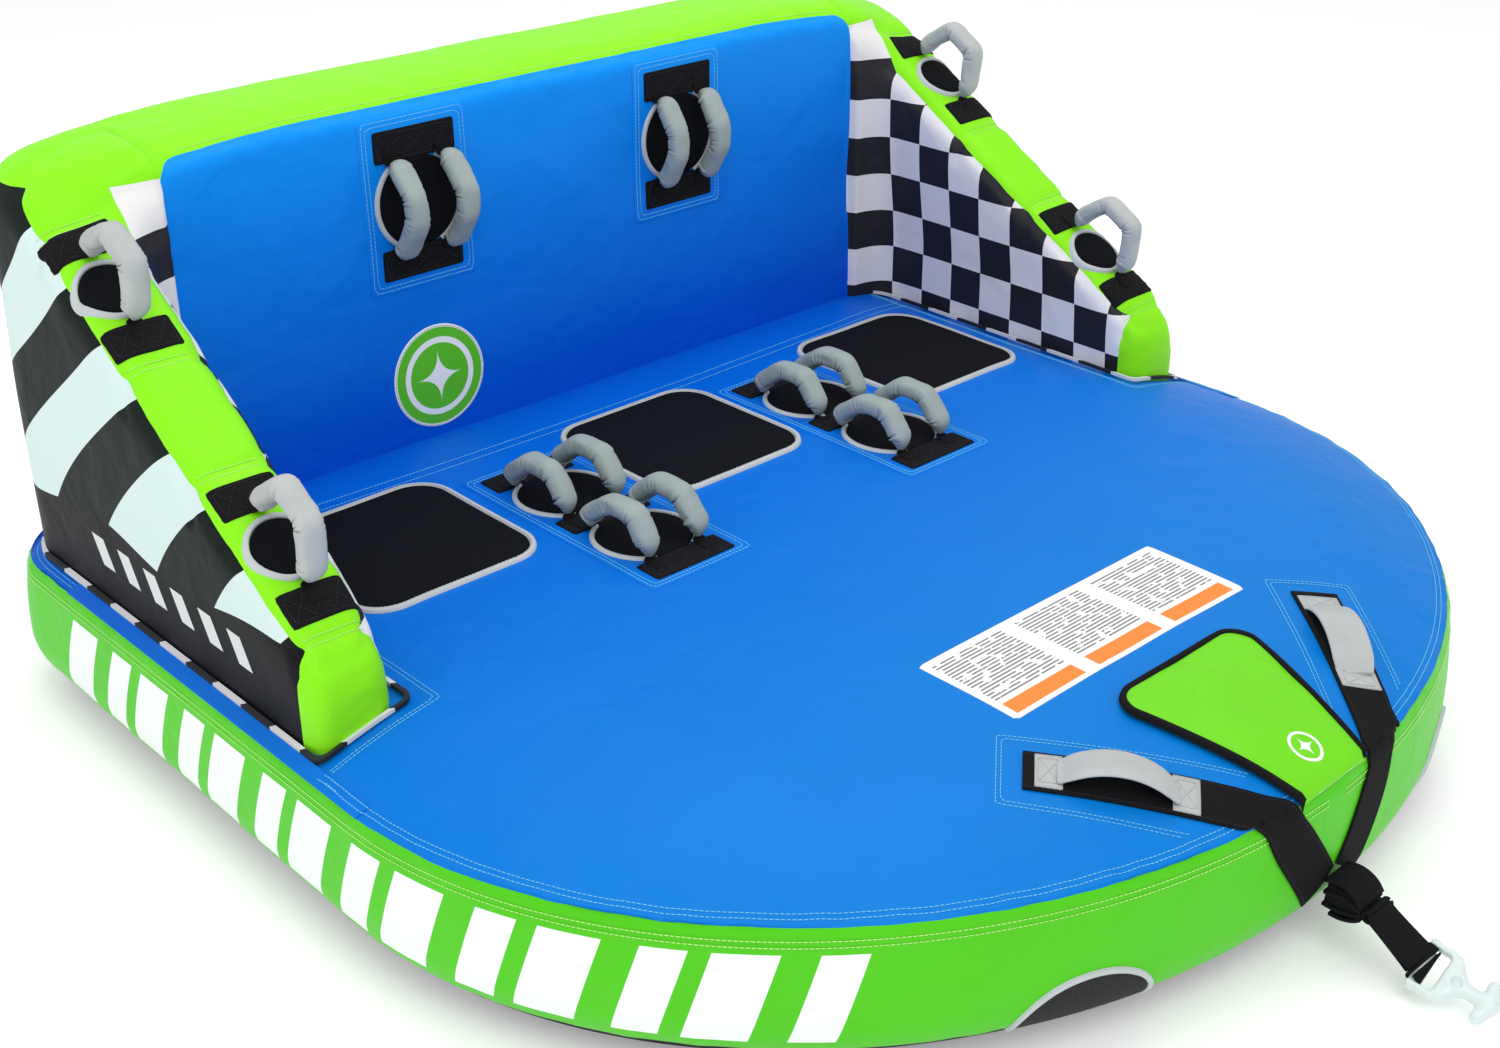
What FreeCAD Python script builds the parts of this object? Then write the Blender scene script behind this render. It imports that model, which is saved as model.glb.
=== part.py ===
import FreeCAD, Part
import math
import os
import re
import Sketcher
from FreeCAD import Placement, Rotation, Vector

# Inflatable three-rider towable tube: a D-shaped deck with a rounded nose, a backrest with two
# sloping side arms, padded grips, seat pads and a V tow harness.
#
# Frame: millimetres, +Z up, origin on the floor under the middle of the hull. The nose and the
# tow gear point to -Y, the backrest is at +Y, and the object is symmetrical about X = 0.

doc = FreeCAD.newDocument("TowableTube")
sheet = doc.addObject("Spreadsheet::Sheet", "Sizes")

SIZES = [
    # hull
    ("hull_half_width", 932, "plan half width at the deck seam"),
    ("hull_half_length", 894, "plan half length at the deck seam"),
    ("nose_reach", 792, "length of the half-elliptical nose"),
    ("corner_radius", 158, "rear corners of the hull in plan"),
    ("band_bulge", 13, "how far the side band stands out past the seam"),
    ("bulge_height", 110, "height of the widest line of the band"),
    ("base_inset", 132, "flat base edge, in from the deck seam"),
    ("base_seam_height", 49, "seam between side band and bottom panel"),
    ("seam_height", 236, "seam between side band and deck panel"),
    ("deck_height", 295, "flat middle of the deck"),
    ("crown_width", 370, "width over which the deck rounds down to its seam"),
    ("crown_power", 2.4, "how late the crown turns down"),
    ("cover_thickness", 2, "sewn fabric cover"),
    ("bladder_gap", 2, "slack between cover and bladder"),
    ("bladder_wall", 2, "bladder film, thickened"),
    # backrest and arms
    ("back_front", 643, "front face of the backrest"),
    ("back_rear", 868, "rear face of the backrest"),
    ("back_top", 870, "top of the backrest"),
    ("back_rounding", 60, "rounding of the top edges"),
    ("back_corner_radius", 130, "rear corners of the backrest in plan"),
    ("back_end", 735, "half width of the backrest's raised top"),
    ("inner_corner_radius", 74, "curved corner between backrest and arm"),
    ("cap_seam_height", 843, "seam between front panel and top cap"),
    ("cap_drop", 26, "how far the cap reaches down the arm's sides"),
    ("cap_join", 650, "seam between arm cap and top cap"),
    ("arm_inner", 768, "inner face of the arms"),
    ("arm_outer", 904, "outer face of the arms"),
    ("arm_front", -4, "front end of the arms"),
    ("arm_nose_height", 371, "height at which the arm's slope starts"),
    ("arm_slope", 32.04, "slope of the arm's top, degrees"),
    ("arm_edge_radius", 14, "rounding along the arm's cap"),
    ("arm_nose_radius", 45, "rounding of the arm's front corner"),
    ("arm_crest_radius", 40, "rounding where the arm's slope meets the top"),
    ("sunk_base", 200, "height below the deck from which the upper shapes start"),
    ("welt_width", 6, "piping along the foot of the arms"),
    # layers sewn on the cover
    ("film", 1.2, "sewn reinforcement panel, label"),
    ("webbing", 3.2, "top of webbing above the cover"),
    ("foam", 5.2, "top of neoprene pads above the cover"),
    ("flap_under", 6, "underside of the stow flap above the cover"),
    ("flap_top", 11, "top of the stow flap above the cover"),
    # seat pads
    ("pad_width", 312, ""),
    ("pad_depth", 322, ""),
    ("pad_corner", 62, ""),
    ("pad_pitch", 545, "pad to pad across the deck"),
    ("pad_centre", 338, "middle of the pads along Y"),
    ("pad_binding", 11, "width of the edge binding"),
    # grip groups
    ("group_offset", 267, "centre line of the deck grip groups"),
    ("group_centre", 211, "middle of the deck grip groups along Y"),
    ("group_width", 200, ""),
    ("group_depth", 466, ""),
    ("patch_width", 150, "anchor patch across the grips"),
    ("patch_depth", 50, "anchor patch along the grips"),
    ("patch_pitch", 189, "patch to patch on the deck"),
    ("guard_radius", 82, "knuckle guard with its binding"),
    ("guard_binding", 9, ""),
    ("back_group_offset", 270, ""),
    ("back_group_height", 689, ""),
    ("back_group_tall", 282, ""),
    ("arm_patch_width", 106, ""),
    ("arm_patch_depth", 52, ""),
    ("arm_patch_pitch", 176, ""),
    ("arm_guard_radius", 52, ""),
    ("arm_grip_low", 150, "Y of the lower arm grips"),
    ("arm_grip_high", 538, "Y of the upper arm grips"),
    ("grip_chord", 134, "foot to foot of the deck and back grips"),
    ("grip_rise", 52, "height of the grip's centre line"),
    ("grip_width", 33, ""),
    ("grip_depth", 24, ""),
    ("grip_spacing", 94, "between the two grips of a pair"),
    ("grip_clearance", 9.5, "height of the grip's feet above the cover"),
    ("arm_grip_chord", 118, ""),
    ("arm_grip_rise", 76, ""),
    # prints and labels
    ("label_width", 500, ""),
    ("label_depth", 168, ""),
    ("label_centre", -500, ""),
    ("badge_radius", 88, ""),
    ("badge_offset", -262, ""),
    ("badge_height", 391, ""),
    # tow gear
    ("strap_width", 70, "harness webbing"),
    ("strap_start_offset", 320, "X of the strap's rear end"),
    ("strap_start", -652, "Y of the strap's rear end"),
    ("strap_seam_offset", 122, "X where the strap crosses the deck seam"),
    ("strap_seam", -888, "Y where the strap crosses the deck seam"),
    ("strap_low_offset", 16, "X of the strap's lower end"),
    ("strap_low_height", 96, "height of the strap's lower end"),
    ("handle_width", 58, "carry handle on the strap"),
    ("handle_length", 200, ""),
    ("handle_rise", 26, "inner height of the handle's arch"),
    ("handle_thickness", 4, ""),
    ("yoke_axis", -940, "Y of the yoke's upright axis"),
    ("yoke_width", 56, ""),
    ("yoke_low", 62, ""),
    ("yoke_tall", 58, ""),
    ("yoke_front", -966, ""),
    ("leader_axis", -976, "Y of the leader's rear pivot"),
    ("leader_height", 86, "height of the leader's rear pivot"),
    ("leader_width", 50, ""),
    ("leader_thickness", 7, ""),
    ("leader_narrowing", 4, "each edge draws in towards the connector"),
    ("hook_axis", -1046, "Y of the connector's bar"),
    ("hook_height", 43, "height of the connector's bar"),
    ("hook_roll", 30, "roll of the connector about its length, degrees"),
    ("hook_tilt", 13, "droop of the connector, degrees"),
    ("bar_radius", 6, "connector bar that carries the leader"),
    ("bar_clearance", 0.4, ""),
    ("loop_radius", 11, "outside of the leader's front loop"),
    ("hook_width", 70, ""),
    ("hook_thickness", 18, ""),
    ("hook_rail", 9, "side rail of the connector"),
    ("hook_slot", 24, "slot length in front of the bar"),
    ("hook_neck", 24, ""),
    ("hook_reach", 88, "bar to the cross head"),
    ("head_radius", 12, "cross head of the connector"),
    ("head_length", 62, ""),
    ("flap_hinge", -896, "Y of the stow flap's hinge line"),
    ("flap_hinge_height", 246, ""),
    ("flap_rear", -642, ""),
    ("flap_rear_width", 264, ""),
    ("flap_front_width", 138, ""),
    ("flap_corner", 34, ""),
    # vents, zipper and valves
    ("vent_offset", 385, ""),
    ("vent_length", 196, ""),
    ("vent_rise", 84, ""),
    ("vent_foot", 46, "height of the vent's straight edge"),
    ("vent_turn", 21, "turn of the vent's normal from -Y, degrees"),
    ("zip_height", 150, ""),
    ("zip_length", 1300, ""),
    ("zip_width", 26, ""),
    ("slider_length", 26, ""),
    ("slider_width", 12, ""),
    ("slider_depth", 7, ""),
    ("slider_start", -630, ""),
    ("valve_radius", 30, "valve flange"),
    ("valve_flange", 5, ""),
    ("valve_seat", 1.2, "flange's underside above the cover"),
    ("valve_throat", 12, "inner radius of the valve"),
    ("valve_stem", 18, "outer radius of the valve's stem"),
    ("valve_depth", 26, ""),
    ("valve_hole", 19, "hole in cover and bladder"),
    ("valve_cap_radius", 23, ""),
    ("valve_cap_height", 13, ""),
    ("valve_plug_tip", 8.5, "the plug tapers, so the cap swings clear"),
    ("valve_gap", 0.5, ""),
    ("deck_valve_offset", 560, ""),
    ("deck_valve_height", 196, ""),
    ("back_valve_offset", 560, ""),
    ("back_valve_height", 420, ""),
]
ALIASES = {name for name, _, _ in SIZES}

for row, (name, value, note) in enumerate(SIZES, start=1):
    sheet.set(f"A{row}", name)
    sheet.set(f"B{row}", str(value))
    sheet.setAlias(f"B{row}", name)
    sheet.set(f"C{row}", note)
doc.recompute()

nodes = []


# ------------------------------------------------------------------ small helpers

def size(name):
    """A driving dimension, read from the sheet."""
    return float(sheet.get(name))


def expression(text):
    """A sheet expression from plain words: each alias gets the sheet's name in front."""
    return re.sub(r"[a-z_]+", lambda m: "Sizes." + m[0] if m[0] in ALIASES else m[0], str(text))


def bind(obj, **sizes):
    for prop, text in sizes.items():
        obj.setExpression(prop, expression(text))
    return obj


def place(obj, x=0, y=0, z=0):
    for axis, text in (("x", x), ("y", y), ("z", z)):
        obj.setExpression("Placement.Base." + axis, expression(text))
    return obj


def turn(obj, axis, degrees):
    """Turn an object about one of its own axes by a bound angle."""
    obj.Placement = Placement(obj.Placement.Base, Rotation(axis, 1))
    obj.setExpression("Placement.Rotation.Angle", expression(degrees) + " * 1 deg")
    return obj


def named(obj, label):
    """Make the object a sub-part of the tube."""
    obj.Label = label
    nodes.append(obj)
    return obj


def box(name, x0, x1, y0, y1, z0, z1):
    made = doc.addObject("Part::Box", name)
    bind(made, Length=f"({x1}) - ({x0})", Width=f"({y1}) - ({y0})", Height=f"({z1}) - ({z0})")
    return place(made, x0, y0, z0)


def centred_box(name, width, depth, height, x=0, y=0, z=0):
    """A box centred on x and y that starts at z."""
    return box(name, f"{x} - {width} / 2", f"{x} + {width} / 2",
               f"{y} - {depth} / 2", f"{y} + {depth} / 2", z, f"{z} + {height}")


def cylinder(name, radius, height, x=0, y=0, z=0):
    made = doc.addObject("Part::Cylinder", name)
    bind(made, Radius=radius, Height=height)
    return place(made, x, y, z)


def cut(name, base, tool):
    made = doc.addObject("Part::Cut", name)
    made.Base = base
    made.Tool = tool
    return made


def common(name, base, tool):
    made = doc.addObject("Part::Common", name)
    made.Base = base
    made.Tool = tool
    return made


def fuse(name, shapes):
    made = doc.addObject("Part::MultiFuse", name)
    made.Shapes = shapes
    return made


def group(name, shapes):
    """Separate solids kept together in one sub-part."""
    made = doc.addObject("Part::Compound", name)
    made.Links = shapes
    return made


def feature(name, shape):
    made = doc.addObject("Part::Feature", name)
    made.Shape = shape
    return made


def rounded_sketch(body, width, depth, radius):
    """A centred rectangle with round corners on the body's XY plane, bound to the sheet."""
    sketch = body.newObject("Sketcher::SketchObject", body.Name + "_sketch")
    plane = [f for f in body.Origin.OriginFeatures if f.Role == "XY_Plane"][0]
    sketch.AttachmentSupport = (plane, [""])
    sketch.MapMode = "FlatFace"
    x, y, r = 50.0, 40.0, 10.0
    corners = [(x, -y, -90), (x, y, 0), (-x, y, 90), (-x, -y, 180)]
    for cx, cy, start in corners:
        centre = Vector(cx - math.copysign(r, cx), cy - math.copysign(r, cy), 0)
        circle = Part.Circle(centre, Vector(0, 0, 1), r)
        sketch.addGeometry(Part.ArcOfCircle(circle, math.radians(start), math.radians(start + 90)))
    for index in range(4):
        start = sketch.Geometry[index].EndPoint
        end = sketch.Geometry[(index + 1) % 4].StartPoint
        sketch.addGeometry(Part.LineSegment(start, end))
    for index in range(4):
        line = index + 4
        sketch.addConstraint(Sketcher.Constraint("Tangent", index, 2, line, 1))
        sketch.addConstraint(Sketcher.Constraint("Tangent", line, 2, (index + 1) % 4, 1))
        sketch.addConstraint(Sketcher.Constraint("Horizontal" if index % 2 else "Vertical", line))
        if index:
            sketch.addConstraint(Sketcher.Constraint("Equal", 0, index))
    sketch.addConstraint(Sketcher.Constraint("Symmetric", 0, 3, 2, 3, -1, 1))
    driving = [
        ("Radius", Sketcher.Constraint("Radius", 0, r), radius),
        ("Across", Sketcher.Constraint("DistanceX", 6, 1, 4, 1, 2 * x), width),
        ("Along", Sketcher.Constraint("DistanceY", 7, 1, 5, 1, 2 * y), depth),
    ]
    for label, constraint, text in driving:
        index = sketch.addConstraint(constraint)
        sketch.renameConstraint(index, label)
        sketch.setExpression("Constraints." + label, expression(text))
    return sketch


def rounded_pad(name, width, depth, radius, height, x=0, y=0, z=0):
    """A flat pad with round corners, as a body with one sketch and one pad."""
    body = doc.addObject("PartDesign::Body", name)
    sketch = rounded_sketch(body, width, depth, radius)
    pad = body.newObject("PartDesign::Pad", name + "_pad")
    pad.Profile = sketch
    pad.setExpression("Length", expression(height))
    return place(body, x, y, z)


# ------------------------------------------------------------------ hull shapes

def hull_outline(offset, height):
    """Closed D outline of the hull, moved out by offset, at one height."""
    half = size("hull_half_width") + offset
    reach = size("nose_reach") + offset
    rear = size("hull_half_length") + offset
    shoulder = size("nose_reach") - size("hull_half_length")
    radius = max(size("corner_radius") + offset / 2, 20)
    diagonal = radius * (1 - math.sqrt(0.5))
    ellipse = Part.Ellipse(Vector(0, shoulder, height), half, reach)
    points = [
        Vector(half, shoulder, height), Vector(half, rear - radius, height),
        Vector(half - radius, rear, height), Vector(radius - half, rear, height),
        Vector(-half, rear - radius, height), Vector(-half, shoulder, height),
    ]
    right_mid = Vector(half - diagonal, rear - diagonal, height)
    left_mid = Vector(diagonal - half, rear - diagonal, height)
    edges = [
        Part.ArcOfEllipse(ellipse, math.pi, 2 * math.pi).toShape(),
        Part.LineSegment(points[0], points[1]).toShape(),
        Part.Arc(points[1], right_mid, points[2]).toShape(),
        Part.LineSegment(points[2], points[3]).toShape(),
        Part.Arc(points[3], left_mid, points[4]).toShape(),
        Part.LineSegment(points[4], points[5]).toShape(),
    ]
    return Part.Wire(edges)


def hull_levels():
    """Offset and height of the sections below and above the deck seam."""
    bulge = size("band_bulge")
    widest = size("bulge_height")
    seam = size("seam_height")
    lower = []
    for degrees in (90, 67, 45, 22, 0):
        angle = math.radians(degrees)
        lower.append((bulge - (size("base_inset") + bulge) * (1 - math.cos(angle)),
                      widest * (1 - math.sin(angle))))
    for fraction in (0.35, 0.7, 1.0):
        lower.append((bulge * (1 - fraction ** 2), widest + (seam - widest) * fraction))
    upper = []
    for fraction in (0, 0.12, 0.3, 0.5, 0.75, 1.0):
        drop = (size("deck_height") - seam) * (1 - fraction) ** size("crown_power")
        upper.append((-size("crown_width") * fraction, size("deck_height") - drop))
    return lower, upper


def hull_solid(inset):
    """The hull's closed shape, moved in by inset, or out if inset is negative."""
    widest = size("bulge_height")
    solids = []
    for levels in hull_levels():
        wires = []
        for offset, height in levels:
            reach = widest if height < widest else size("deck_height") - widest
            moved = height + inset * (widest - height) / reach
            wires.append(hull_outline(offset - inset, moved))
        solids.append(Part.makeLoft(wires, True, False))
    above_base = Part.makeBox(2400, 2400, 600, Vector(-1200, -1200, inset))
    return solids[0].fuse(solids[1]).common(above_base)


hulls = {}


def hull(inset):
    """One construction object for each hull surface that is used."""
    if inset not in hulls:
        text = f"{inset:g}".replace(".", "p").replace("-", "out")
        hulls[inset] = feature("HullShape_" + text, hull_solid(inset))
    return hulls[inset]


def layer(low, high):
    """The space between two heights above the cover, all round the hull."""
    key = (low, high)
    if key not in hulls:
        outer = hull(-high)
        hulls[key] = cut(f"Layer_{len(hulls)}", outer, hull(-low))
    return hulls[key]


def on_cover(name, prism, low, high):
    """A sub-part that follows the cover, cut from a layer by an upright prism."""
    return common(name, layer(low, high), prism)


wall = size("cover_thickness")
slack = wall + size("bladder_gap")
inside = slack + size("bladder_wall")
film = size("film")
webbing = size("webbing")
foam = size("foam")

cover = cut("HullCover", hull(0), hull(wall))
wide = "hull_half_width + 60"
deep = "hull_half_length + 60"


def hull_slice(name, low, high):
    slab = box(name + "_slab", f"-({wide})", wide, f"-({deep})", deep, low, high)
    return named(common(name, cover, slab), name)


hull_slice("deck_top_panel", "seam_height", "deck_height + 40")
bottom_panel = hull_slice("bottom_panel", "0 - 40", "base_seam_height")
band_slab = box("side_band_slab", f"-({wide})", wide, f"-({deep})", deep,
                "base_seam_height", "seam_height")
band = common("side_band_blank", cover, band_slab)


# ------------------------------------------------------------------ backrest and arm shapes

def arm_profile(inset, inner, outer):
    """The sloping wedge of an arm between two values of X, with its bends rounded."""
    slope = math.radians(size("arm_slope"))
    front = size("arm_front") + inset
    rear = size("back_rear") - inset
    top = size("back_top") - inset
    foot = size("sunk_base")
    start = size("arm_nose_height") - inset * (1 / math.cos(slope) - math.tan(slope))
    crest = front + (top - start) / math.tan(slope)
    profile = [(front, foot), (front, start), (crest, top), (rear, top), (rear, foot)]
    face = Part.Face(Part.makePolygon([Vector(inner, y, z) for y, z in profile + profile[:1]]))
    solid = face.extrude(Vector(outer - inner, 0, 0))
    bends = {1: size("arm_nose_radius"), 2: size("arm_crest_radius"), 3: size("back_rounding")}
    for index, radius in bends.items():
        corner = Vector(0, *profile[index])
        edges = [e for e in solid.Edges if edge_along_x(e, corner)]
        solid = solid.makeFillet(radius - inset, edges)
    return solid


def arm_shape(inset, side):
    """One side arm, moved in by inset, on one side of the tube."""
    inner = size("arm_inner") + inset
    outer = size("arm_outer") - inset
    solid = arm_profile(inset, inner, outer)
    rims = [e for e in solid.Edges if on_cap_rim(e, size("sunk_base"))]
    solid = solid.makeFillet(size("arm_edge_radius") - inset / 2, rims)
    return solid if side > 0 else solid.mirror(Vector(0, 0, 0), Vector(1, 0, 0))


def edge_along_x(edge, corner):
    return all(abs(v.Y - corner.y) < 0.01 and abs(v.Z - corner.z) < 0.01 for v in edge.Vertexes)


def on_cap_rim(edge, foot):
    """True for the edges that run round the arm's profile, except at its foot."""
    flat = [v.X for v in edge.Vertexes]
    same_side = max(flat) - min(flat) < 0.01
    low = all(v.Z < foot + 0.01 for v in edge.Vertexes)
    return same_side and not low


def back_shape(inset):
    """The backrest between the arms, with rounded top edges."""
    half = size("back_end") - inset
    front = size("back_front") + inset
    rear = size("back_rear") - inset
    foot = size("sunk_base")
    top = size("back_top") - inset
    solid = Part.makeBox(2 * half, rear - front, top - foot, Vector(-half, front, foot))
    edges = [e for e in solid.Edges if all(abs(v.Z - top) < 0.01 for v in e.Vertexes)]
    return solid.makeFillet(size("back_rounding") - inset, edges)


def link_shape(inset, side):
    """Joins an arm to the backrest: the arm's profile carried inward round a curved corner."""
    radius = size("inner_corner_radius")
    start = size("arm_inner") - radius
    begin = size("back_front") - radius
    outer = size("arm_inner") + size("arm_edge_radius") + 8
    slab = arm_profile(inset, start, outer)
    slab = slab.common(Part.makeBox(2000, 1000, 2000, Vector(-1000, begin, 0)))
    hollow = Part.makeCylinder(radius + inset, 2000, Vector(start, begin, 0))
    slab = slab.cut(hollow)
    return slab if side > 0 else slab.mirror(Vector(0, 0, 0), Vector(1, 0, 0))


def corner_tool(inset):
    """Plan limit of the backrest: a tall block with rounded rear corners."""
    half = size("arm_outer") - inset
    rear = size("back_rear") - inset
    block = Part.makeBox(2 * half, 1200, 1200, Vector(-half, rear - 1200, 0))
    edges = [e for e in block.Edges
             if all(abs(v.Y - rear) < 0.01 for v in e.Vertexes) and abs(e.Vertexes[0].X
             - e.Vertexes[-1].X) < 0.01]
    return block.makeFillet(size("back_corner_radius") - inset, edges)


def upper_solid(inset):
    """Backrest and both arms as one solid."""
    sides = [shape(inset, side) for side in (1, -1) for shape in (arm_shape, link_shape)]
    return back_shape(inset).fuse(sides).common(corner_tool(inset)).removeSplitter()


upper_outer = feature("UpperOuter", upper_solid(0))
upper_inner = feature("UpperInner", upper_solid(wall))
upper_shell = cut("UpperShell", upper_outer, upper_inner)
upper_cover = cut("UpperCover", upper_shell, hull(0))

# Regions of the upper cover, bounded by its seams.
slope_block = box("SlopeBlock", "0 - 1000", "1000", "0", "2000", "0", "600")
turn(slope_block, Vector(1, 0, 0), "arm_slope")
place(slope_block, -1000, "arm_front - 100",
      "arm_nose_height - 100 * tan(arm_slope * 1 deg) - cap_drop / cos(arm_slope * 1 deg)")
nose_block = box("NoseBlock", -1000, 1000, "arm_front - 50", "arm_front + 26", 0, 1000)
cap_limit = box("CapLimit", -1000, 1000, -100, "cap_join", 0, 1000)
cap_region = common("CapRegion", fuse("CapBlocks", [slope_block, nose_block]), cap_limit)
panel_half = "arm_inner - inner_corner_radius"
seat_gap = box("SeatGap", f"0 - ({panel_half})", panel_half, -200, "cap_join + 1", 0, 1000)
cap_region = cut("CapRegionOpen", cap_region, seat_gap)
arm_caps = common("ArmCaps", upper_cover, cap_region)

top_middle = box("TopMiddle", f"0 - ({panel_half})", panel_half, "back_front - 1", 1000,
                 "cap_seam_height", 1000)
top_ends = common("TopEnds", slope_block,
                  box("TopEndLimit", -1000, 1000, "cap_join", 1000, 0, 1000))
top_ends_only = cut("TopEndsOnly", top_ends,
                    box("MiddleOut", f"0 - ({panel_half})", panel_half, 0, 1000, 0, 1000))
top_region = fuse("TopRegion", [top_middle, top_ends_only])
named(common("top_cap", upper_cover, top_region), "top_cap")

below_caps = cut("BelowCaps", cut("BelowTop", upper_cover, top_region), cap_region)
arm_middle = "(arm_inner + arm_outer) / 2"
outer_rear = "back_rear - back_corner_radius + 30"


def strip(name, x0, x1, y0, y1):
    region = box(name + "_region", x0, x1, y0, y1, 0, 1000)
    return named(common(name, below_caps, region), name)


def mirrored_strip(name, x0, x1, y0, y1):
    """The same panel on both arms."""
    strip(name + "_right", x0, x1, y0, y1)
    strip(name + "_left", f"0 - ({x1})", f"0 - ({x0})", y0, y1)


for side, low, high in (("right", 0, 1000), ("left", -1000, 0)):
    half_space = box("ArmHalf_" + side, low, high, -100, 1000, 0, 1000)
    named(common("arm_cap_" + side, arm_caps, half_space), "arm_cap_" + side)

mirrored_strip("arm_inner_panel", panel_half, arm_middle, -100, "back_front + 90")
mirrored_strip("arm_outer_panel", arm_middle, 1000, -100, outer_rear)
strip("backrest_front_panel", f"0 - ({panel_half})", panel_half, "back_front - 1",
      "back_front + 90")
rear_blocks = fuse("RearBlocks", [
    box("RearMiddle", f"0 - {arm_middle}", arm_middle, "back_front + 90", 1000, 0, 1000),
    box("RearRight", arm_middle, 1000, outer_rear, 1000, 0, 1000),
    box("RearLeft", -1000, f"0 - {arm_middle}", outer_rear, 1000, 0, 1000),
])
rear_blank = common("RearBlank", below_caps, rear_blocks)

# ------------------------------------------------------------------ bladders

valve_places = {
    "deck": ("deck_valve_offset", "deck_valve_height"),
    "backrest": ("back_valve_offset", "back_valve_height"),
}


def valve_surface(which):
    """Y of the cover's outer face at a valve."""
    if which == "backrest":
        return size("back_rear")
    rise = (size("deck_valve_height") - size("bulge_height"))
    share = rise / (size("seam_height") - size("bulge_height"))
    return size("hull_half_length") + size("band_bulge") * (1 - share ** 2)


def valve_placement(which):
    """Where a valve sits, facing straight off the cover; the deck's band leans back there."""
    across, up = valve_places[which]
    lean = 0.0
    if which == "deck":
        rise = size("deck_valve_height") - size("bulge_height")
        span = size("seam_height") - size("bulge_height")
        lean = math.degrees(math.atan(2 * size("band_bulge") * rise / span ** 2))
    spot = Vector(size(across), valve_surface(which), size(up))
    return Placement(spot, Rotation(Vector(1, 0, 0), lean - 90))


def valve_cutter(which):
    """A round tool through the cover and the bladder at a valve."""
    tool = doc.addObject("Part::Cylinder", "ValveHole_" + which)
    bind(tool, Radius="valve_hole", Height=60)
    tool.Placement = valve_placement(which).multiply(Placement(Vector(0, 0, -35), Rotation()))
    return tool


deck_hole = valve_cutter("deck")
back_hole = valve_cutter("backrest")
named(cut("side_band", band, deck_hole), "side_band")
named(cut("backrest_rear_panel", rear_blank, back_hole), "backrest_rear_panel")

deck_film = cut("DeckFilm", hull(slack), hull(inside))
named(cut("deck_bladder", deck_film, deck_hole), "deck_bladder")


def trimmed(shape, low, high, lift):
    """A shape cut to a span along Y and to the space above the deck."""
    block = Part.makeBox(2000, high - low, 1000, Vector(-1000, low, 0))
    return shape.common(block).cut(hull_solid(-lift))


def chamber(shape_at, low, high):
    """A closed hollow chamber that stands on the deck."""
    outer = trimmed(shape_at(slack), low, high, 2)
    inner = trimmed(shape_at(inside), low + 2, high - 2, 4)
    return outer.cut(inner)


back_start = size("back_front") + slack
back_film = feature("BackFilm", chamber(upper_solid, back_start, size("back_rear")))
named(cut("back_bladder", back_film, back_hole), "back_bladder")
for side, sign in (("right", 1), ("left", -1)):
    made = chamber(lambda inset: arm_shape(inset, sign), size("arm_front"), back_start - 1)
    named(feature("arm_bladder_" + side, made), "arm_bladder_" + side)

# ------------------------------------------------------------------ piping and gussets

welt_outer = feature("WeltOuter", upper_solid(-size("welt_width")))
welt_whole = cut("WeltWhole", on_cover("WeltLayer", welt_outer, 0, foam), upper_outer)
above_seam = box("AboveSeam", -1000, 1000, -200, 1000, "seam_height", 1000)
named(common("base_welt", welt_whole, above_seam), "base_welt")

for side, sign in (("right", 1), ("left", -1)):
    inner = "arm_outer + welt_width + 0.5"
    outer = "hull_half_width - 1"
    ends = (inner, outer) if sign > 0 else (f"0 - ({outer})", f"0 - ({inner})")
    prism = box("GussetPrism_" + side, *ends, "arm_front - 120", "back_front", 150, 400)
    named(on_cover("side_gusset_" + side, prism, 0, film), "side_gusset_" + side)

# ------------------------------------------------------------------ seat pads

pad_names = {"left": "0 - pad_pitch", "middle": "0", "right": "pad_pitch"}
bindings = []
for side, across in pad_names.items():
    whole = rounded_pad("PadOutline_" + side, "pad_width", "pad_depth", "pad_corner", 100,
                        across, "pad_centre", "deck_height - 60")
    field = rounded_pad("PadField_" + side, "pad_width - 2 * pad_binding",
                        "pad_depth - 2 * pad_binding", "pad_corner - pad_binding", 100,
                        across, "pad_centre", "deck_height - 60")
    named(on_cover("seat_pad_" + side, field, 0, foam), "seat_pad_" + side)
    bindings.append(on_cover("PadRing_" + side, cut("PadRim_" + side, whole, field), 0, foam))
named(group("seat_pad_bindings", bindings), "seat_pad_bindings")


# ------------------------------------------------------------------ grip groups

class Site:
    """A flat place on the cover: centre, direction along the grips, direction off the cover."""

    def __init__(self, name, centre, along, off, pair):
        self.name = name
        self.centre = centre
        self.along = along
        self.off = off
        self.across = along.cross(off)
        self.pair = pair
        self.turned = Rotation(self.across, along, off, "ZYX")

    def placed(self, across=0, along=0, up=0):
        """Placement of something at a spot in the site's own directions."""
        spot = self.centre + self.across * across + self.along * along + self.off * up
        return Placement(spot, self.turned)


slope_angle = math.radians(size("arm_slope"))
slope_along = Vector(0, math.cos(slope_angle), math.sin(slope_angle))
slope_off = Vector(0, -math.sin(slope_angle), math.cos(slope_angle))
arm_x = (size("arm_inner") + size("arm_outer")) / 2


def slope_point(x, y):
    """The point of the arm's sloping top at a place along Y."""
    height = size("arm_nose_height") + (y - size("arm_front")) * math.tan(slope_angle)
    return Vector(x, y, height)


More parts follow.
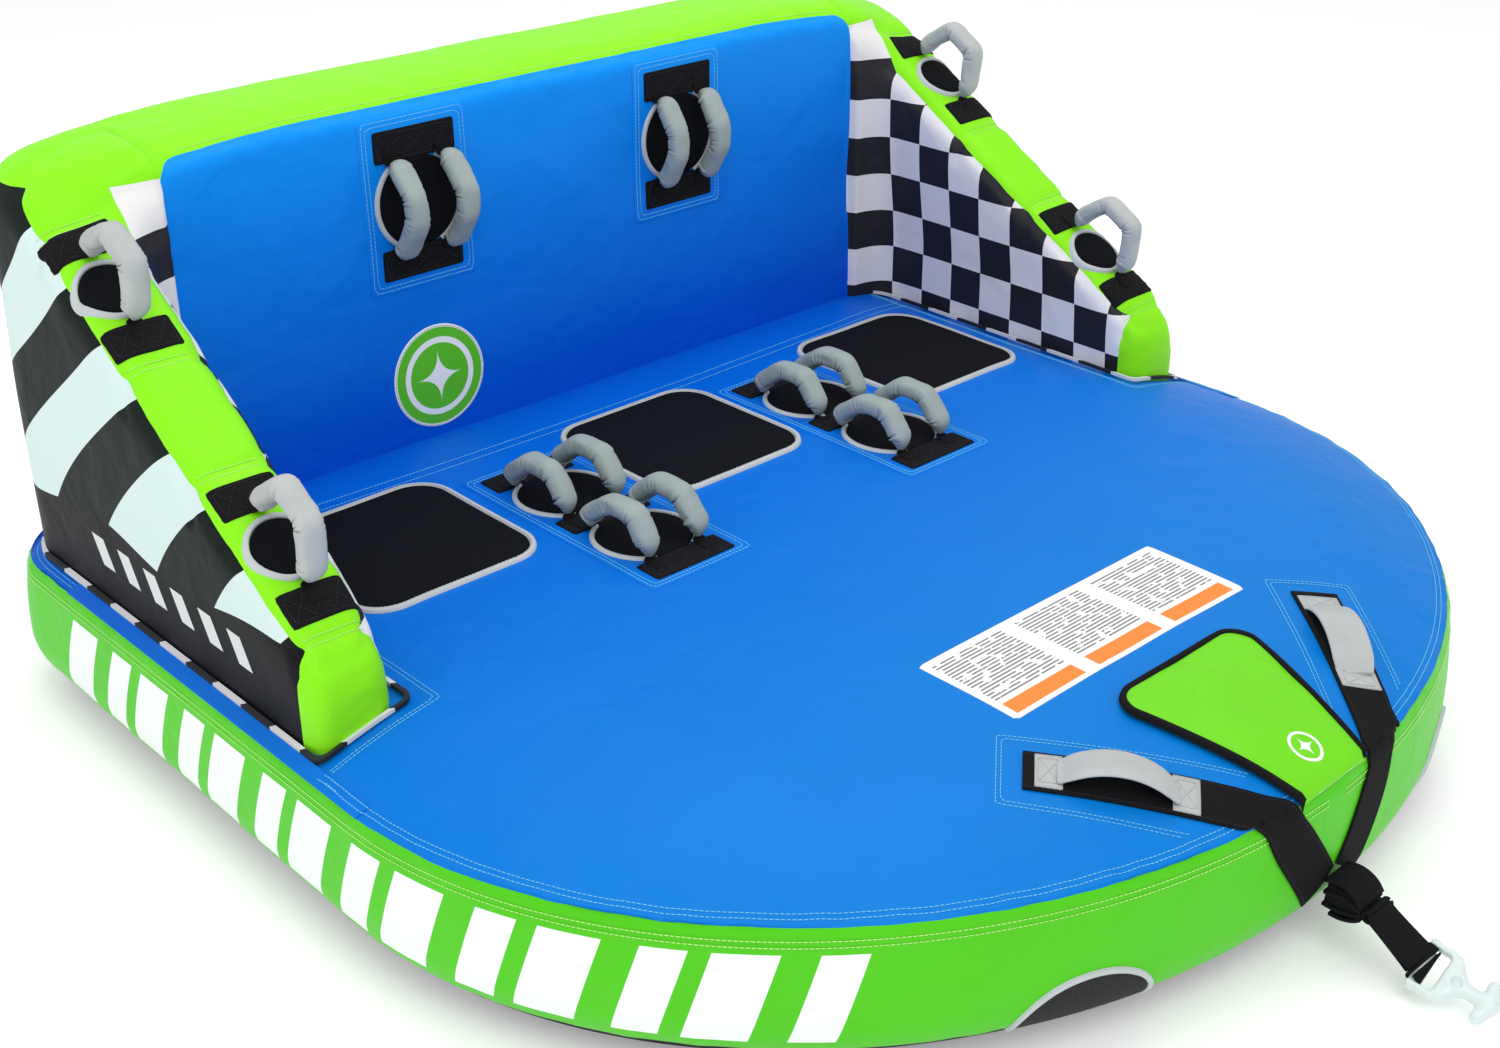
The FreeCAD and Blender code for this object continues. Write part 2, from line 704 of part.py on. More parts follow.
sites = []
for side, sign in (("left", -1), ("right", 1)):
    middle = Vector(sign * size("group_offset"), size("group_centre"), size("deck_height"))
    for end, step in (("rear", 0.5), ("front", -0.5)):
        centre = middle + Vector(0, step * size("patch_pitch"), 0)
        sites.append(Site(f"deck_{side}_{end}", centre, Vector(0, 1, 0), Vector(0, 0, 1), True))
    back = Vector(sign * size("back_group_offset"), size("back_front"), size("back_group_height"))
    sites.append(Site(f"back_{side}", back, Vector(0, 0, 1), Vector(0, -1, 0), True))
    for end, spot in (("upper", "arm_grip_high"), ("lower", "arm_grip_low")):
        centre = slope_point(sign * arm_x, size(spot))
        sites.append(Site(f"arm_{side}_{end}", centre, slope_along, slope_off, False))


def site_box(site, name, width, depth, low, high, along=0):
    """A flat rectangular piece on a site; its sizes are bound to the sheet."""
    made = doc.addObject("Part::Box", name)
    bind(made, Length=width, Width=depth, Height=f"({high}) - ({low})")
    across = -size(width) / 2
    made.Placement = site.placed(across, along - size(depth) / 2, level(low))
    return made


def site_disc(site, name, radius, low, high):
    made = doc.addObject("Part::Cylinder", name)
    bind(made, Radius=radius, Height=f"({high}) - ({low})")
    made.Placement = site.placed(0, 0, level(low))
    return made


def level(name):
    """Height above the cover, where 0 is the cover itself."""
    return 0 if name == "0" else size(name)


panels = []
patches = []
guards = []
rings = []

for side, sign in (("left", -1), ("right", 1)):
    middle = Vector(sign * size("group_offset"), size("group_centre"), size("deck_height"))
    deck_site = Site("deck_" + side, middle, Vector(0, 1, 0), Vector(0, 0, 1), True)
    panels.append(site_box(deck_site, "DeckPanel_" + side, "group_width", "group_depth", "0", "film"))
    for step in (-1, 0, 1):
        patches.append(site_box(deck_site, f"DeckPatch_{side}_{step + 1}", "patch_width",
                                "patch_depth", "film", "webbing", step * size("patch_pitch")))

for site in sites:
    on_arm = site.name.startswith("arm")
    if site.name.startswith("back"):
        panels.append(site_box(site, "Panel_" + site.name, "group_width", "back_group_tall",
                               "0", "film"))
    wide_name = "arm_patch_width" if on_arm else "patch_width"
    deep_name = "arm_patch_depth" if on_arm else "patch_depth"
    pitch = size("arm_patch_pitch") if on_arm else size("patch_pitch")
    under = "0" if on_arm else "film"
    tools = []
    for end, step in (("low", -0.5), ("high", 0.5)):
        tools.append(site_box(site, f"PatchTool_{site.name}_{end}", wide_name, deep_name,
                              under, "foam", step * pitch))
        if not site.name.startswith("deck"):
            patches.append(site_box(site, f"Patch_{site.name}_{end}", wide_name, deep_name,
                                    under, "webbing", step * pitch))
    radius = "arm_guard_radius" if on_arm else "guard_radius"
    whole = site_disc(site, "GuardWhole_" + site.name, radius, under, "foam")
    field = site_disc(site, "GuardField_" + site.name, radius + " - guard_binding", under, "foam")
    block = fuse("PatchBlock_" + site.name, tools)
    guards.append(cut("Guard_" + site.name, field, block))
    rings.append(cut("Ring_" + site.name, cut("Rim_" + site.name, whole, field), block))

named(group("handle_base_panels", panels), "handle_base_panels")
named(group("anchor_patches", patches), "anchor_patches")
named(group("knuckle_guards", guards), "knuckle_guards")
named(group("knuckle_guard_bindings", rings), "knuckle_guard_bindings")


# ------------------------------------------------------------------ grips

def power(value, exponent):
    """A signed power, for a squarish arch."""
    return math.copysign(abs(value) ** exponent, value)


def grip_shape(chord, rise):
    """A padded sleeve: an arch of oval sections that taper to its two feet."""
    stations = 13
    centres = []
    for index in range(stations):
        angle = math.pi * index / (stations - 1)
        centres.append(Vector(0, -chord / 2 * power(math.cos(angle), 0.72),
                              rise * abs(math.sin(angle)) ** 0.72))
    wires = []
    run = 0.0
    lengths = [0.0]
    for first, second in zip(centres, centres[1:]):
        run += (second - first).Length
        lengths.append(run)
    for index, centre in enumerate(centres):
        before = centres[max(index - 1, 0)]
        after = centres[min(index + 1, stations - 1)]
        heading = after - before
        if index in (0, stations - 1):
            heading = Vector(0, 0, 1 if index == 0 else -1)
        nearest = min(lengths[index], run - lengths[index])
        swell = 0.32 + 0.68 * min(1.0, nearest / 34) ** 0.8
        oval = Part.Ellipse(Vector(0, 0, 0), size("grip_width") / 2 * swell,
                            size("grip_depth") / 2 * swell)
        wire = Part.Wire([oval.toShape()])
        turned = Rotation(Vector(1, 0, 0), Vector(0, 0, 0), heading, "ZXY")
        wire.Placement = Placement(centre, turned)
        wires.append(wire)
    return Part.makeLoft(wires, True, False)


pair_grip = grip_shape(size("grip_chord"), size("grip_rise"))
arm_grip = grip_shape(size("arm_grip_chord"), size("arm_grip_rise"))


def add_grip(name, site, across, shape):
    made = feature(name, shape)
    made.Placement = site.placed(across, 0, size("grip_clearance"))
    named(made, name)


for site in sites:
    if site.pair:
        half = size("grip_spacing") / 2
        add_grip(f"grip_{site.name}_a", site, -half, pair_grip)
        add_grip(f"grip_{site.name}_b", site, half, pair_grip)
    else:
        add_grip("grip_" + site.name, site, 0, arm_grip)

# ------------------------------------------------------------------ label and badge

label_prism = centred_box("LabelPrism", "label_width", "label_depth", 120, 0, "label_centre", 200)
named(on_cover("information_label", label_prism, 0, film), "information_label")

badge = cylinder("badge", "badge_radius", "film")
turn(badge, Vector(1, 0, 0), 90)
named(place(badge, "badge_offset", "back_front", "badge_height"), "badge")

# ------------------------------------------------------------------ harness straps and handles


def flat_run(start, end, width, normal, reach):
    """A band of one width from start to end, standing reach each way along its normal."""
    along = end - start
    side = along.cross(normal).normalize() * (width / 2)
    low = start - normal * reach
    corners = [low + side, low - side, low + along - side, low + along + side]
    face = Part.Face(Part.makePolygon(corners + corners[:1]))
    return face.extrude(normal * 2 * reach)


def strap_solid():
    """The right harness strap: across the deck's crown, then down the nose of the side band."""
    up = Vector(0, 0, 1)
    rear_end = Vector(size("strap_start_offset"), size("strap_start"), 0)
    crossing = Vector(size("strap_seam_offset"), size("strap_seam"), 0)
    past = crossing + (crossing - rear_end).normalize() * 40
    over_deck = flat_run(rear_end, past, size("strap_width"), up, 500)
    edge = size("seam_height") - 8
    over_deck = over_deck.common(Part.makeBox(2000, 2000, 400, Vector(-1000, -1500, edge)))
    top = Vector(size("strap_seam_offset"), 0, size("seam_height"))
    low_end = Vector(size("strap_low_offset"), 0, size("strap_low_height"))
    over_band = flat_run(top, low_end, size("strap_width"), Vector(0, 1, 0), 1500)
    over_band = over_band.common(Part.makeBox(2000, 700, edge, Vector(1, -1500, 0)))
    prism = over_deck.fuse(over_band)
    made = hull_solid(-webbing).cut(hull_solid(0)).common(prism)
    return max(made.Solids, key=lambda solid: solid.Volume)


strap = strap_solid()
named(feature("harness_strap_right", strap), "harness_strap_right")
named(feature("harness_strap_left", strap.mirror(Vector(0, 0, 0), Vector(1, 0, 0))),
      "harness_strap_left")


def deck_point(x, y):
    """The height of the deck's surface at a plan position near the nose."""
    low, high = -size("crown_width"), 0.0
    shoulder = size("nose_reach") - size("hull_half_length")
    for _ in range(40):
        middle = (low + high) / 2
        half = size("hull_half_width") + middle
        reach = size("nose_reach") + middle
        inside_outline = (x / half) ** 2 + ((y - shoulder) / reach) ** 2 < 1
        low, high = (low, middle) if inside_outline else (middle, high)
    fraction = -high / size("crown_width")
    drop = (size("deck_height") - size("seam_height")) * (1 - fraction) ** size("crown_power")
    return Vector(x, y, size("deck_height") - drop)


def handle_solid():
    """The right carry handle: a band sewn to the strap at both ends that arches between them."""
    start = Vector(size("strap_start_offset"), size("strap_start"), 0)
    crossing = Vector(size("strap_seam_offset"), size("strap_seam"), 0)
    heading = (crossing - start).normalize()
    first = start + heading * 14
    last = first + heading * size("handle_length")
    a = deck_point(first.x, first.y)
    b = deck_point(last.x, last.y)
    chord = b - a
    side = Vector(0, 0, 1).cross(chord).normalize()
    off = chord.cross(side).normalize()
    lift = webbing + 3
    tab = 30
    length = chord.Length
    direction = Vector(chord).normalize()
    rise = size("handle_rise")
    thick = size("handle_thickness")
    lower = [(0, lift), (tab, lift), (length / 2, lift + rise), (length - tab, lift), (length, lift)]

    def spot(u, v):
        return a + direction * u + off * v - side * size("handle_width") / 2

    edges = []
    for shift in (0, thick):
        row = [spot(u, v + shift) for u, v in lower]
        arc = Part.Arc(row[1], row[2], row[3])
        edges.append([Part.LineSegment(row[0], row[1]), arc, Part.LineSegment(row[3], row[4])])
    outline = [e.toShape() for e in edges[0] + edges[1]]
    outline.append(Part.LineSegment(spot(0, lift), spot(0, lift + thick)).toShape())
    outline.append(Part.LineSegment(spot(length, lift), spot(length, lift + thick)).toShape())
    face = Part.Face(Part.Wire(Part.__sortEdges__(outline)))
    return face.extrude(side * size("handle_width")).cut(hull_solid(-webbing - 0.4))


handle = handle_solid()
named(feature("carry_handle_right", handle), "carry_handle_right")
named(feature("carry_handle_left", handle.mirror(Vector(0, 0, 0), Vector(1, 0, 0))),
      "carry_handle_left")

# ------------------------------------------------------------------ yoke, leader and connector

yoke_back = cylinder("YokeBack", "yoke_width / 2", "yoke_tall", 0, "yoke_axis", "yoke_low")
yoke_front = box("YokeFront", "0 - yoke_width / 2", "yoke_width / 2", "yoke_front", "yoke_axis",
                 "yoke_low", "yoke_low + yoke_tall")
named(fuse("harness_yoke", [yoke_back, yoke_front]), "harness_yoke")


def leader_solid():
    """Flat webbing from the yoke down to the connector, with a loop round the connector's bar."""
    rear = Vector(0, size("leader_axis"), size("leader_height"))
    front = Vector(0, size("hook_axis"), size("hook_height"))
    half_width = size("leader_width") / 2
    half_thick = size("leader_thickness") / 2
    heading = (front - rear).normalize()
    roll = math.radians(size("hook_roll"))
    flat = Vector(1, 0, 0)
    rolled = Vector(math.cos(roll), 0, math.sin(roll))
    stop = front - heading * (size("loop_radius") - 1)
    wires = []
    narrow = half_width - size("leader_narrowing")
    for point, across, half in ((rear, flat, half_width), (stop, rolled, narrow)):
        across = (across - heading * across.dot(heading)).normalize()
        normal = across.cross(heading)
        corners = [point + across * half * i + normal * half_thick * j
                   for i, j in ((1, 1), (-1, 1), (-1, -1), (1, -1))]
        wires.append(Part.makePolygon(corners + corners[:1]))
    band_part = Part.makeLoft(wires, True, True)
    rear_roll = Part.makeCylinder(half_thick, 2 * half_width, rear - flat * half_width, flat)
    start = front - rolled * half_width
    hole = size("bar_radius") + size("bar_clearance")
    loop = Part.makeCylinder(size("loop_radius"), 2 * half_width, start, rolled)
    bore = Part.makeCylinder(hole, 4 * half_width, start - rolled * half_width, rolled)
    return band_part.fuse([rear_roll, loop]).cut(bore)


named(feature("tow_leader", leader_solid()), "tow_leader")


def connector_solid():
    """The plastic tow connector, built along -Y from its bar, then rolled and drooped."""
    half_width = size("hook_width") / 2
    thick = size("hook_thickness")
    rail = size("hook_rail")
    slot = size("hook_slot")
    inner = half_width - rail
    bar = Part.makeCylinder(size("bar_radius"), 2 * half_width - 2,
                            Vector(1 - half_width, 0, 0), Vector(1, 0, 0))
    frame_block = Part.makeBox(2 * half_width, slot + 22, thick,
                               Vector(-half_width, -slot - 14, -thick / 2))
    upright = [e for e in frame_block.Edges if abs(e.Vertexes[0].Z - e.Vertexes[-1].Z) > 1]
    frame_block = frame_block.makeFillet(7, upright)
    window = Part.makeBox(2 * inner, slot + 30, 2 * thick, Vector(-inner, -slot, -thick))
    frame_block = frame_block.cut(window)
    neck = size("hook_neck")
    neck_block = Part.makeBox(neck, size("hook_reach") - slot - 4, thick - 4,
                              Vector(-neck / 2, -size("hook_reach"), 2 - thick / 2))
    head_half = size("head_length") / 2
    head = Part.makeCylinder(size("head_radius"), 2 * head_half,
                             Vector(-head_half, -size("hook_reach"), 0), Vector(1, 0, 0))
    rims = [e for e in head.Edges if isinstance(e.Curve, Part.Circle)]
    head = head.makeFillet(size("head_radius") * 0.6, rims)
    return frame_block.fuse([bar, neck_block, head]).removeSplitter()


connector = feature("tow_connector", connector_solid())
hook_turn = Rotation(Vector(0, 1, 0), -size("hook_roll"))
droop = Rotation(Vector(1, 0, 0), size("hook_tilt"))
connector.Placement = Placement(Vector(0, size("hook_axis"), size("hook_height")),
                                hook_turn.multiply(droop))
named(connector, "tow_connector")


# ------------------------------------------------------------------ stow flap

def flap_prism():
    """Plan outline of the flap: wider and rounded at the rear, straight at its hinge."""
    front = size("flap_hinge") + 2
    rear = size("flap_rear")
    narrow = size("flap_front_width") / 2
    broad = size("flap_rear_width") / 2
    corners = [(-narrow, front), (narrow, front), (broad, rear), (-broad, rear)]
    points = [Vector(x, y, 150) for x, y in corners]
    block = Part.Face(Part.makePolygon(points + points[:1])).extrude(Vector(0, 0, 300))
    rear_edges = [e for e in block.Edges
                  if all(abs(v.Y - rear) < 0.01 for v in e.Vertexes)
                  and abs(e.Vertexes[0].Z - e.Vertexes[-1].Z) > 1]
    return block.makeFillet(size("flap_corner"), rear_edges)


flap_outline = feature("FlapPrism", flap_prism())
named(on_cover("stow_flap", flap_outline, size("flap_under"), size("flap_top")), "stow_flap")

# ------------------------------------------------------------------ vents

vents = []
for side, sign in (("right", 1), ("left", -1)):
    oval = doc.addObject("Part::Cylinder", "VentOval_" + side)
    bind(oval, Radius="vent_length / 2", Height=160)
    turn(oval, Vector(1, 0, 0), 90)
    place(oval, 0, 40, "vent_foot")
    above = box("VentAbove_" + side, -200, 200, -200, 100, "vent_foot", "vent_foot + vent_rise")
    half_oval = common("VentShape_" + side, oval, above)
    depth = size("nose_reach") * math.sqrt(1 - (size("vent_offset") / size("hull_half_width")) ** 2)
    shoulder = size("nose_reach") - size("hull_half_length")
    spot = Vector(sign * size("vent_offset"), shoulder - depth, 0)
    half_oval.Placement = Placement(spot, Rotation(Vector(0, 0, 1), sign * size("vent_turn")))
    vents.append(common("Vent_" + side, layer(0, webbing), half_oval))
named(group("drain_vents", vents), "drain_vents")

# ------------------------------------------------------------------ zipper

zip_prism = box("ZipPrism", "0 - zip_length / 2", "zip_length / 2", "hull_half_length - 40",
                "hull_half_length + 60", "zip_height - zip_width / 2", "zip_height + zip_width / 2")
named(on_cover("zipper_tape", zip_prism, 0, webbing), "zipper_tape")

slider = rounded_pad("zipper_slider", "slider_length", "slider_width", 4, "slider_depth")
turn(slider, Vector(1, 0, 0), -90)
band_out = size("band_bulge") + webbing + 0.5
place(slider, "slider_start", size("hull_half_length") + band_out, "zip_height")
named(slider, "zipper_slider")


# ------------------------------------------------------------------ valves

def revolved(name, outline):
    """A body turned from a closed outline of radius and height, about the body's Z axis."""
    body = doc.addObject("PartDesign::Body", name)
    sketch = body.newObject("Sketcher::SketchObject", name + "_sketch")
    plane = [f for f in body.Origin.OriginFeatures if f.Role == "XZ_Plane"][0]
    sketch.AttachmentSupport = (plane, [""])
    sketch.MapMode = "FlatFace"
    points = [Vector(radius, height, 0) for radius, height in outline]
    count = len(points)
    for index in range(count):
        sketch.addGeometry(Part.LineSegment(points[index], points[(index + 1) % count]))
    for index in range(count):
        following = (index + 1) % count
        sketch.addConstraint(Sketcher.Constraint("Coincident", index, 2, following, 1))
    feature_made = body.newObject("PartDesign::Revolution", name + "_turned")
    feature_made.Profile = sketch
    feature_made.ReferenceAxis = (sketch, ["V_Axis"])
    feature_made.Angle = 360
    return body


def valve_outline():
    throat = size("valve_throat")
    stem = size("valve_stem")
    flange = size("valve_radius")
    thick = size("valve_flange")
    depth = size("valve_depth")
    seat = size("valve_seat")
    return [(throat, -depth), (stem, -depth), (stem, seat), (flange, seat), (flange, thick),
            (stem, thick), (throat, thick)]


def cap_outline():
    thick = size("valve_flange") + size("valve_gap")
    radius = size("valve_cap_radius")
    top = thick + size("valve_cap_height")
    plug = size("valve_throat") - 1
    return [(0, -6), (size("valve_plug_tip"), -6), (plug, thick), (radius, thick), (radius, top - 3),
            (radius - 3, top), (0, top)]


valves = []
for which in valve_places:
    body = revolved("ValveBody_" + which, valve_outline())
    body.Placement = valve_placement(which)
    valves.append(body)
    cap = revolved("valve_cap_" + which, cap_outline())
    cap.Placement = valve_placement(which)
    named(cap, "valve_cap_" + which)
named(group("valve_bodies", valves), "valve_bodies")

# ------------------------------------------------------------------ check and write

doc.recompute()

for obj in doc.Objects:
    if "Invalid" in obj.State or "Error" in obj.State:
        raise RuntimeError(f"{obj.Name} ({obj.Label}) failed: {obj.State}")

os.makedirs("parts", exist_ok=True)
for obj in nodes:
    shape = obj.Shape
    if shape.isNull() or not shape.isValid():
        raise RuntimeError(f"{obj.Label} has no valid shape")
    if not shape.Solids:
        raise RuntimeError(f"{obj.Label} has no solid")
    print(f"{obj.Label:26s} solids {len(shape.Solids):2d}  volume {shape.Volume / 1000:10.1f} cm3")
    shape.exportStep(f"parts/{obj.Label}.step")
print(len(nodes), "sub-parts")
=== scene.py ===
"""Looks of the three-rider towable tube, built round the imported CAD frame, in metres."""

import json
import math

import bmesh
import bpy
import numpy as np
import openvdb
from mathutils import Matrix, Vector
from mathutils.bvhtree import BVHTree


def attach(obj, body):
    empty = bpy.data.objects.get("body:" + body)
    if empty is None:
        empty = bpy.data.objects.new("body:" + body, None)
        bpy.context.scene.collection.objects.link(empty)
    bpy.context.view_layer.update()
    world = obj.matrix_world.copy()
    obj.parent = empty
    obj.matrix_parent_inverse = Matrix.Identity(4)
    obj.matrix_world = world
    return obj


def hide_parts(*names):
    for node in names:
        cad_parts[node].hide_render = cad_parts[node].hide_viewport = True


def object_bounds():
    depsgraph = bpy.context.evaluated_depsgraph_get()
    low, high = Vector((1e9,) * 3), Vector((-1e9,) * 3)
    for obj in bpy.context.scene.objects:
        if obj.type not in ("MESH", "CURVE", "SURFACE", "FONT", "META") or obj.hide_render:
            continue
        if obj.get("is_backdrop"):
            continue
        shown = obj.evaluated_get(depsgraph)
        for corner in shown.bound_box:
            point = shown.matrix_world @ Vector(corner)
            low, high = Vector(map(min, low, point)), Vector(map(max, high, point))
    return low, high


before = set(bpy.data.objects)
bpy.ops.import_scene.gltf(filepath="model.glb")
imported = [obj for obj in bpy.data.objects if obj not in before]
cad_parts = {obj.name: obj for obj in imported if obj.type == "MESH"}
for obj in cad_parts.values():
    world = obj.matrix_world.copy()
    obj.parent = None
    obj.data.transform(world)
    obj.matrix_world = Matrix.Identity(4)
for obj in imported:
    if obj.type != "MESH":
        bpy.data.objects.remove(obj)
cad_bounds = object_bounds()
scene = bpy.context.scene

# ------------------------------------------------------------------ camera


def add_camera():
    """The main view: the lens looks over the tube's left front corner."""
    data = bpy.data.cameras.new("camera")
    data.lens = 46.15
    data.sensor_width = 36
    data.clip_end = 60
    camera = bpy.data.objects.new("camera", data)
    scene.collection.objects.link(camera)
    pitch = math.radians(27.196)
    heading = math.radians(46.829)
    forward = Vector((math.cos(pitch) * math.cos(heading),
                      math.cos(pitch) * math.sin(heading), -math.sin(pitch)))
    right = Vector((math.sin(heading), -math.cos(heading), 0))
    up = right.cross(forward)
    turn = Matrix((right, up, -forward)).transposed().to_4x4()
    camera.matrix_world = Matrix.Translation((-1.885, -1.838, 1.615)) @ turn
    scene.camera = camera


add_camera()
scene.view_settings.view_transform = "Standard"

# ------------------------------------------------------------------ sizes

HALF_WIDTH = 0.932
REAR = 0.894
NOSE_REACH = 0.792
SHOULDER = -0.102
CORNER = 0.158
BULGE = 0.013
BULGE_Z = 0.110
BASE_INSET = 0.132
BASE_SEAM_Z = 0.049
SEAM_Z = 0.236
DECK_Z = 0.295
CROWN = 0.370
CROWN_POWER = 2.4

BACK_FRONT = 0.643
BACK_REAR = 0.868
BACK_TOP = 0.870
BACK_END = 0.790
ARM_IN = 0.768
ARM_OUT = 0.904
ARM_FRONT = -0.004
ARM_START_Z = 0.371
SLOPE = math.radians(32.04)
SLOPE_ALONG = np.array([0, math.cos(SLOPE), math.sin(SLOPE)])
SLOPE_OFF = np.array([0, -math.sin(SLOPE), math.cos(SLOPE)])
INNER_CORNER = 0.074
PANEL_HALF = ARM_IN - INNER_CORNER
CAP_DROP = 0.015
CAP_SEAM_Z = 0.843
ARM_MIDDLE = 0.836
TOP_MIDDLE = 0.733
ARM_SEAMS = (0.036, 0.265, 0.425, 0.640)

PAD_PITCH = 0.545
PAD_Y = 0.338
GROUP_X = 0.267
GROUP_Y = 0.211
BACK_GROUP_X = 0.270
BACK_GROUP_Z = 0.689
PATCH_PITCH = 0.189
ARM_PATCH_PITCH = 0.176
ARM_GRIPS = (("upper", 0.538), ("lower", 0.150))
GRIP_CHORD = 0.134
ARM_GRIP_CHORD = 0.118
GRIP_LIFT = 0.0095
FOOT_REACH = 0.030
PAIR_HALF = 0.047
GUARD_RADIUS = 0.082
ARM_GUARD_RADIUS = 0.052

HOOK_ROLL = math.radians(30)
HOOK_PLACE = np.array([0, -1.046, 0.043])

X_AXIS = np.array([1.0, 0, 0])
Y_AXIS = np.array([0, 1.0, 0])
Z_AXIS = np.array([0, 0, 1.0])

# ------------------------------------------------------------------ maths


def lattice(cell, seed):
    """A repeatable number from -1 to 1 for each lattice cell."""
    value = np.sin(cell @ np.array([127.1, 311.7, 74.7]) + seed * 53.3) * 43758.5453
    return (value - np.floor(value)) * 2 - 1


def noise(points, cell, seed=0):
    """Smooth noise from -1 to 1 with features about one cell across."""
    scaled = np.asarray(points, float) / cell
    base = np.floor(scaled)
    part = scaled - base
    part = part * part * (3 - 2 * part)
    total = np.zeros(len(scaled))
    for dx in (0, 1):
        for dy in (0, 1):
            for dz in (0, 1):
                corner = base + np.array([dx, dy, dz])
                weight = (part[:, 0] if dx else 1 - part[:, 0])
                weight = weight * (part[:, 1] if dy else 1 - part[:, 1])
                weight = weight * (part[:, 2] if dz else 1 - part[:, 2])
                total += weight * lattice(corner, seed)
    return total


def unit(v):
    return v / np.maximum(np.linalg.norm(v, axis=-1, keepdims=True), 1e-9)


def soft_max(values, k):
    """The larger of several distances, with the edges between them rounded."""
    result = values[0]
    for other in values[1:]:
        blend = np.maximum(k - np.abs(result - other), 0) / k
        result = np.maximum(result, other) + blend * blend * k / 4
    return result


def soft_min(a, b, k):
    return -soft_max([-a, -b], k)


# ------------------------------------------------------------------ materials


def srgb(r, g, b):
    """Linear colour from the 0-255 values of a display."""
    linear = []
    for value in (r, g, b):
        share = value / 255
        linear.append(share / 12.92 if share <= 0.04045 else ((share + 0.055) / 1.055) ** 2.4)
    return (*linear, 1.0)


class Shader:
    """A small helper that adds nodes to one material."""

    def __init__(self, name, color, rough, specular=0.5, sheen=0.0):
        self.mat = bpy.data.materials.new(name)
        self.mat.use_nodes = True
        self.nodes = self.mat.node_tree.nodes
        self.links = self.mat.node_tree.links
        self.bsdf = self.nodes["Principled BSDF"]
        self.bsdf.inputs["Base Color"].default_value = color
        self.bsdf.inputs["Roughness"].default_value = rough
        self.bsdf.inputs["Specular IOR Level"].default_value = specular
        self.bsdf.inputs["Sheen Weight"].default_value = sheen
        self.mat.diffuse_color = color
        self.coord = self.nodes.new("ShaderNodeTexCoord")

    def add(self, kind, **sockets):
        """A node; a socket's value is a number, a colour or another node's output."""
        node = self.nodes.new(kind)
        for name, value in sockets.items():
            self.feed(node.inputs[name], value)
        return node

    def feed(self, socket, value):
        if isinstance(value, bpy.types.NodeSocket):
            self.links.new(value, socket)
        else:
            socket.default_value = value

    def maths(self, kind, first, second=0.0, clamp=False):
        node = self.nodes.new("ShaderNodeMath")
        node.operation = kind
        node.use_clamp = clamp
        self.feed(node.inputs[0], first)
        self.feed(node.inputs[1], second)
        return node.outputs[0]

    def between(self, value, low, high):
        """One where the value lies between two limits, and zero elsewhere."""
        return self.maths("MULTIPLY", self.maths("GREATER_THAN", value, low),
                          self.maths("LESS_THAN", value, high))

    def mark(self, u, v, ring, star):
        """A ring between two radii with a four-pointed star in it, and the radius itself."""
        radius = self.maths("SQRT", self.maths("ADD", self.maths("MULTIPLY", u, u),
                                               self.maths("MULTIPLY", v, v)))
        circle_line = self.between(radius, *ring)
        root_u = self.maths("SQRT", self.maths("ABSOLUTE", u))
        root_v = self.maths("SQRT", self.maths("ABSOLUTE", v))
        points = self.maths("LESS_THAN", self.maths("ADD", root_u, root_v), star)
        return self.maths("ADD", circle_line, points, True), radius

    def axes(self, output):
        node = self.add("ShaderNodeSeparateXYZ", Vector=output)
        return node.outputs

    def mix(self, factor, first, second):
        node = self.nodes.new("ShaderNodeMix")
        node.data_type = "RGBA"
        self.feed(node.inputs[0], factor)
        self.feed(node.inputs[6], first)
        self.feed(node.inputs[7], second)
        return node.outputs[2]

    def base(self, value):
        self.feed(self.bsdf.inputs["Base Color"], value)

    def bump(self, layers):
        """Stacked bumps; each layer is (height output, strength, distance)."""
        previous = None
        for height, strength, distance in layers:
            node = self.add("ShaderNodeBump", Height=height, Strength=strength, Distance=distance)
            if previous is not None:
                self.links.new(previous, node.inputs["Normal"])
            previous = node.outputs["Normal"]
        self.links.new(previous, self.bsdf.inputs["Normal"])

    def grain(self, scale, detail=2.0, distortion=0.0):
        node = self.add("ShaderNodeTexNoise", Vector=self.coord.outputs["Object"], Scale=scale,
                        Detail=detail, Distortion=distortion)
        return node.outputs[0]

    def folds(self, strength):
        """Slack folds, small puckers and the fine weave of coated fabric."""
        self.bump([(self.grain(11.0, 2.0, 0.5), strength, 0.012),
                   (self.grain(45.0, 2.0), strength * 0.3, 0.003),
                   (self.grain(700.0, 1.0), 0.06, 0.0004)])

    def shade(self, color, amount=0.12, scale=5.0):
        """A slow, slight change of tone over a colour."""
        darker = tuple(c * (1 - amount) for c in color[:3]) + (1.0,)
        return self.mix(self.grain(scale, 3.0), darker, color)


def coated_fabric(name, color, rough=0.42, folds=0.35, tone=0.10, far=None, axis=2, span=(0, 1)):
    """Coated nylon: satin, with slack folds; its colour may run to another along an axis."""
    made = Shader(name, color, rough, 0.10)
    surface = made.shade(color, tone)
    if far is not None:
        place = made.axes(made.coord.outputs["Object"])[axis]
        share = made.maths("DIVIDE", made.maths("SUBTRACT", place, span[0]), span[1] - span[0])
        surface = made.mix(made.maths("MULTIPLY", share, 1.0, True), surface, far)
    made.base(surface)
    made.folds(folds)
    return made


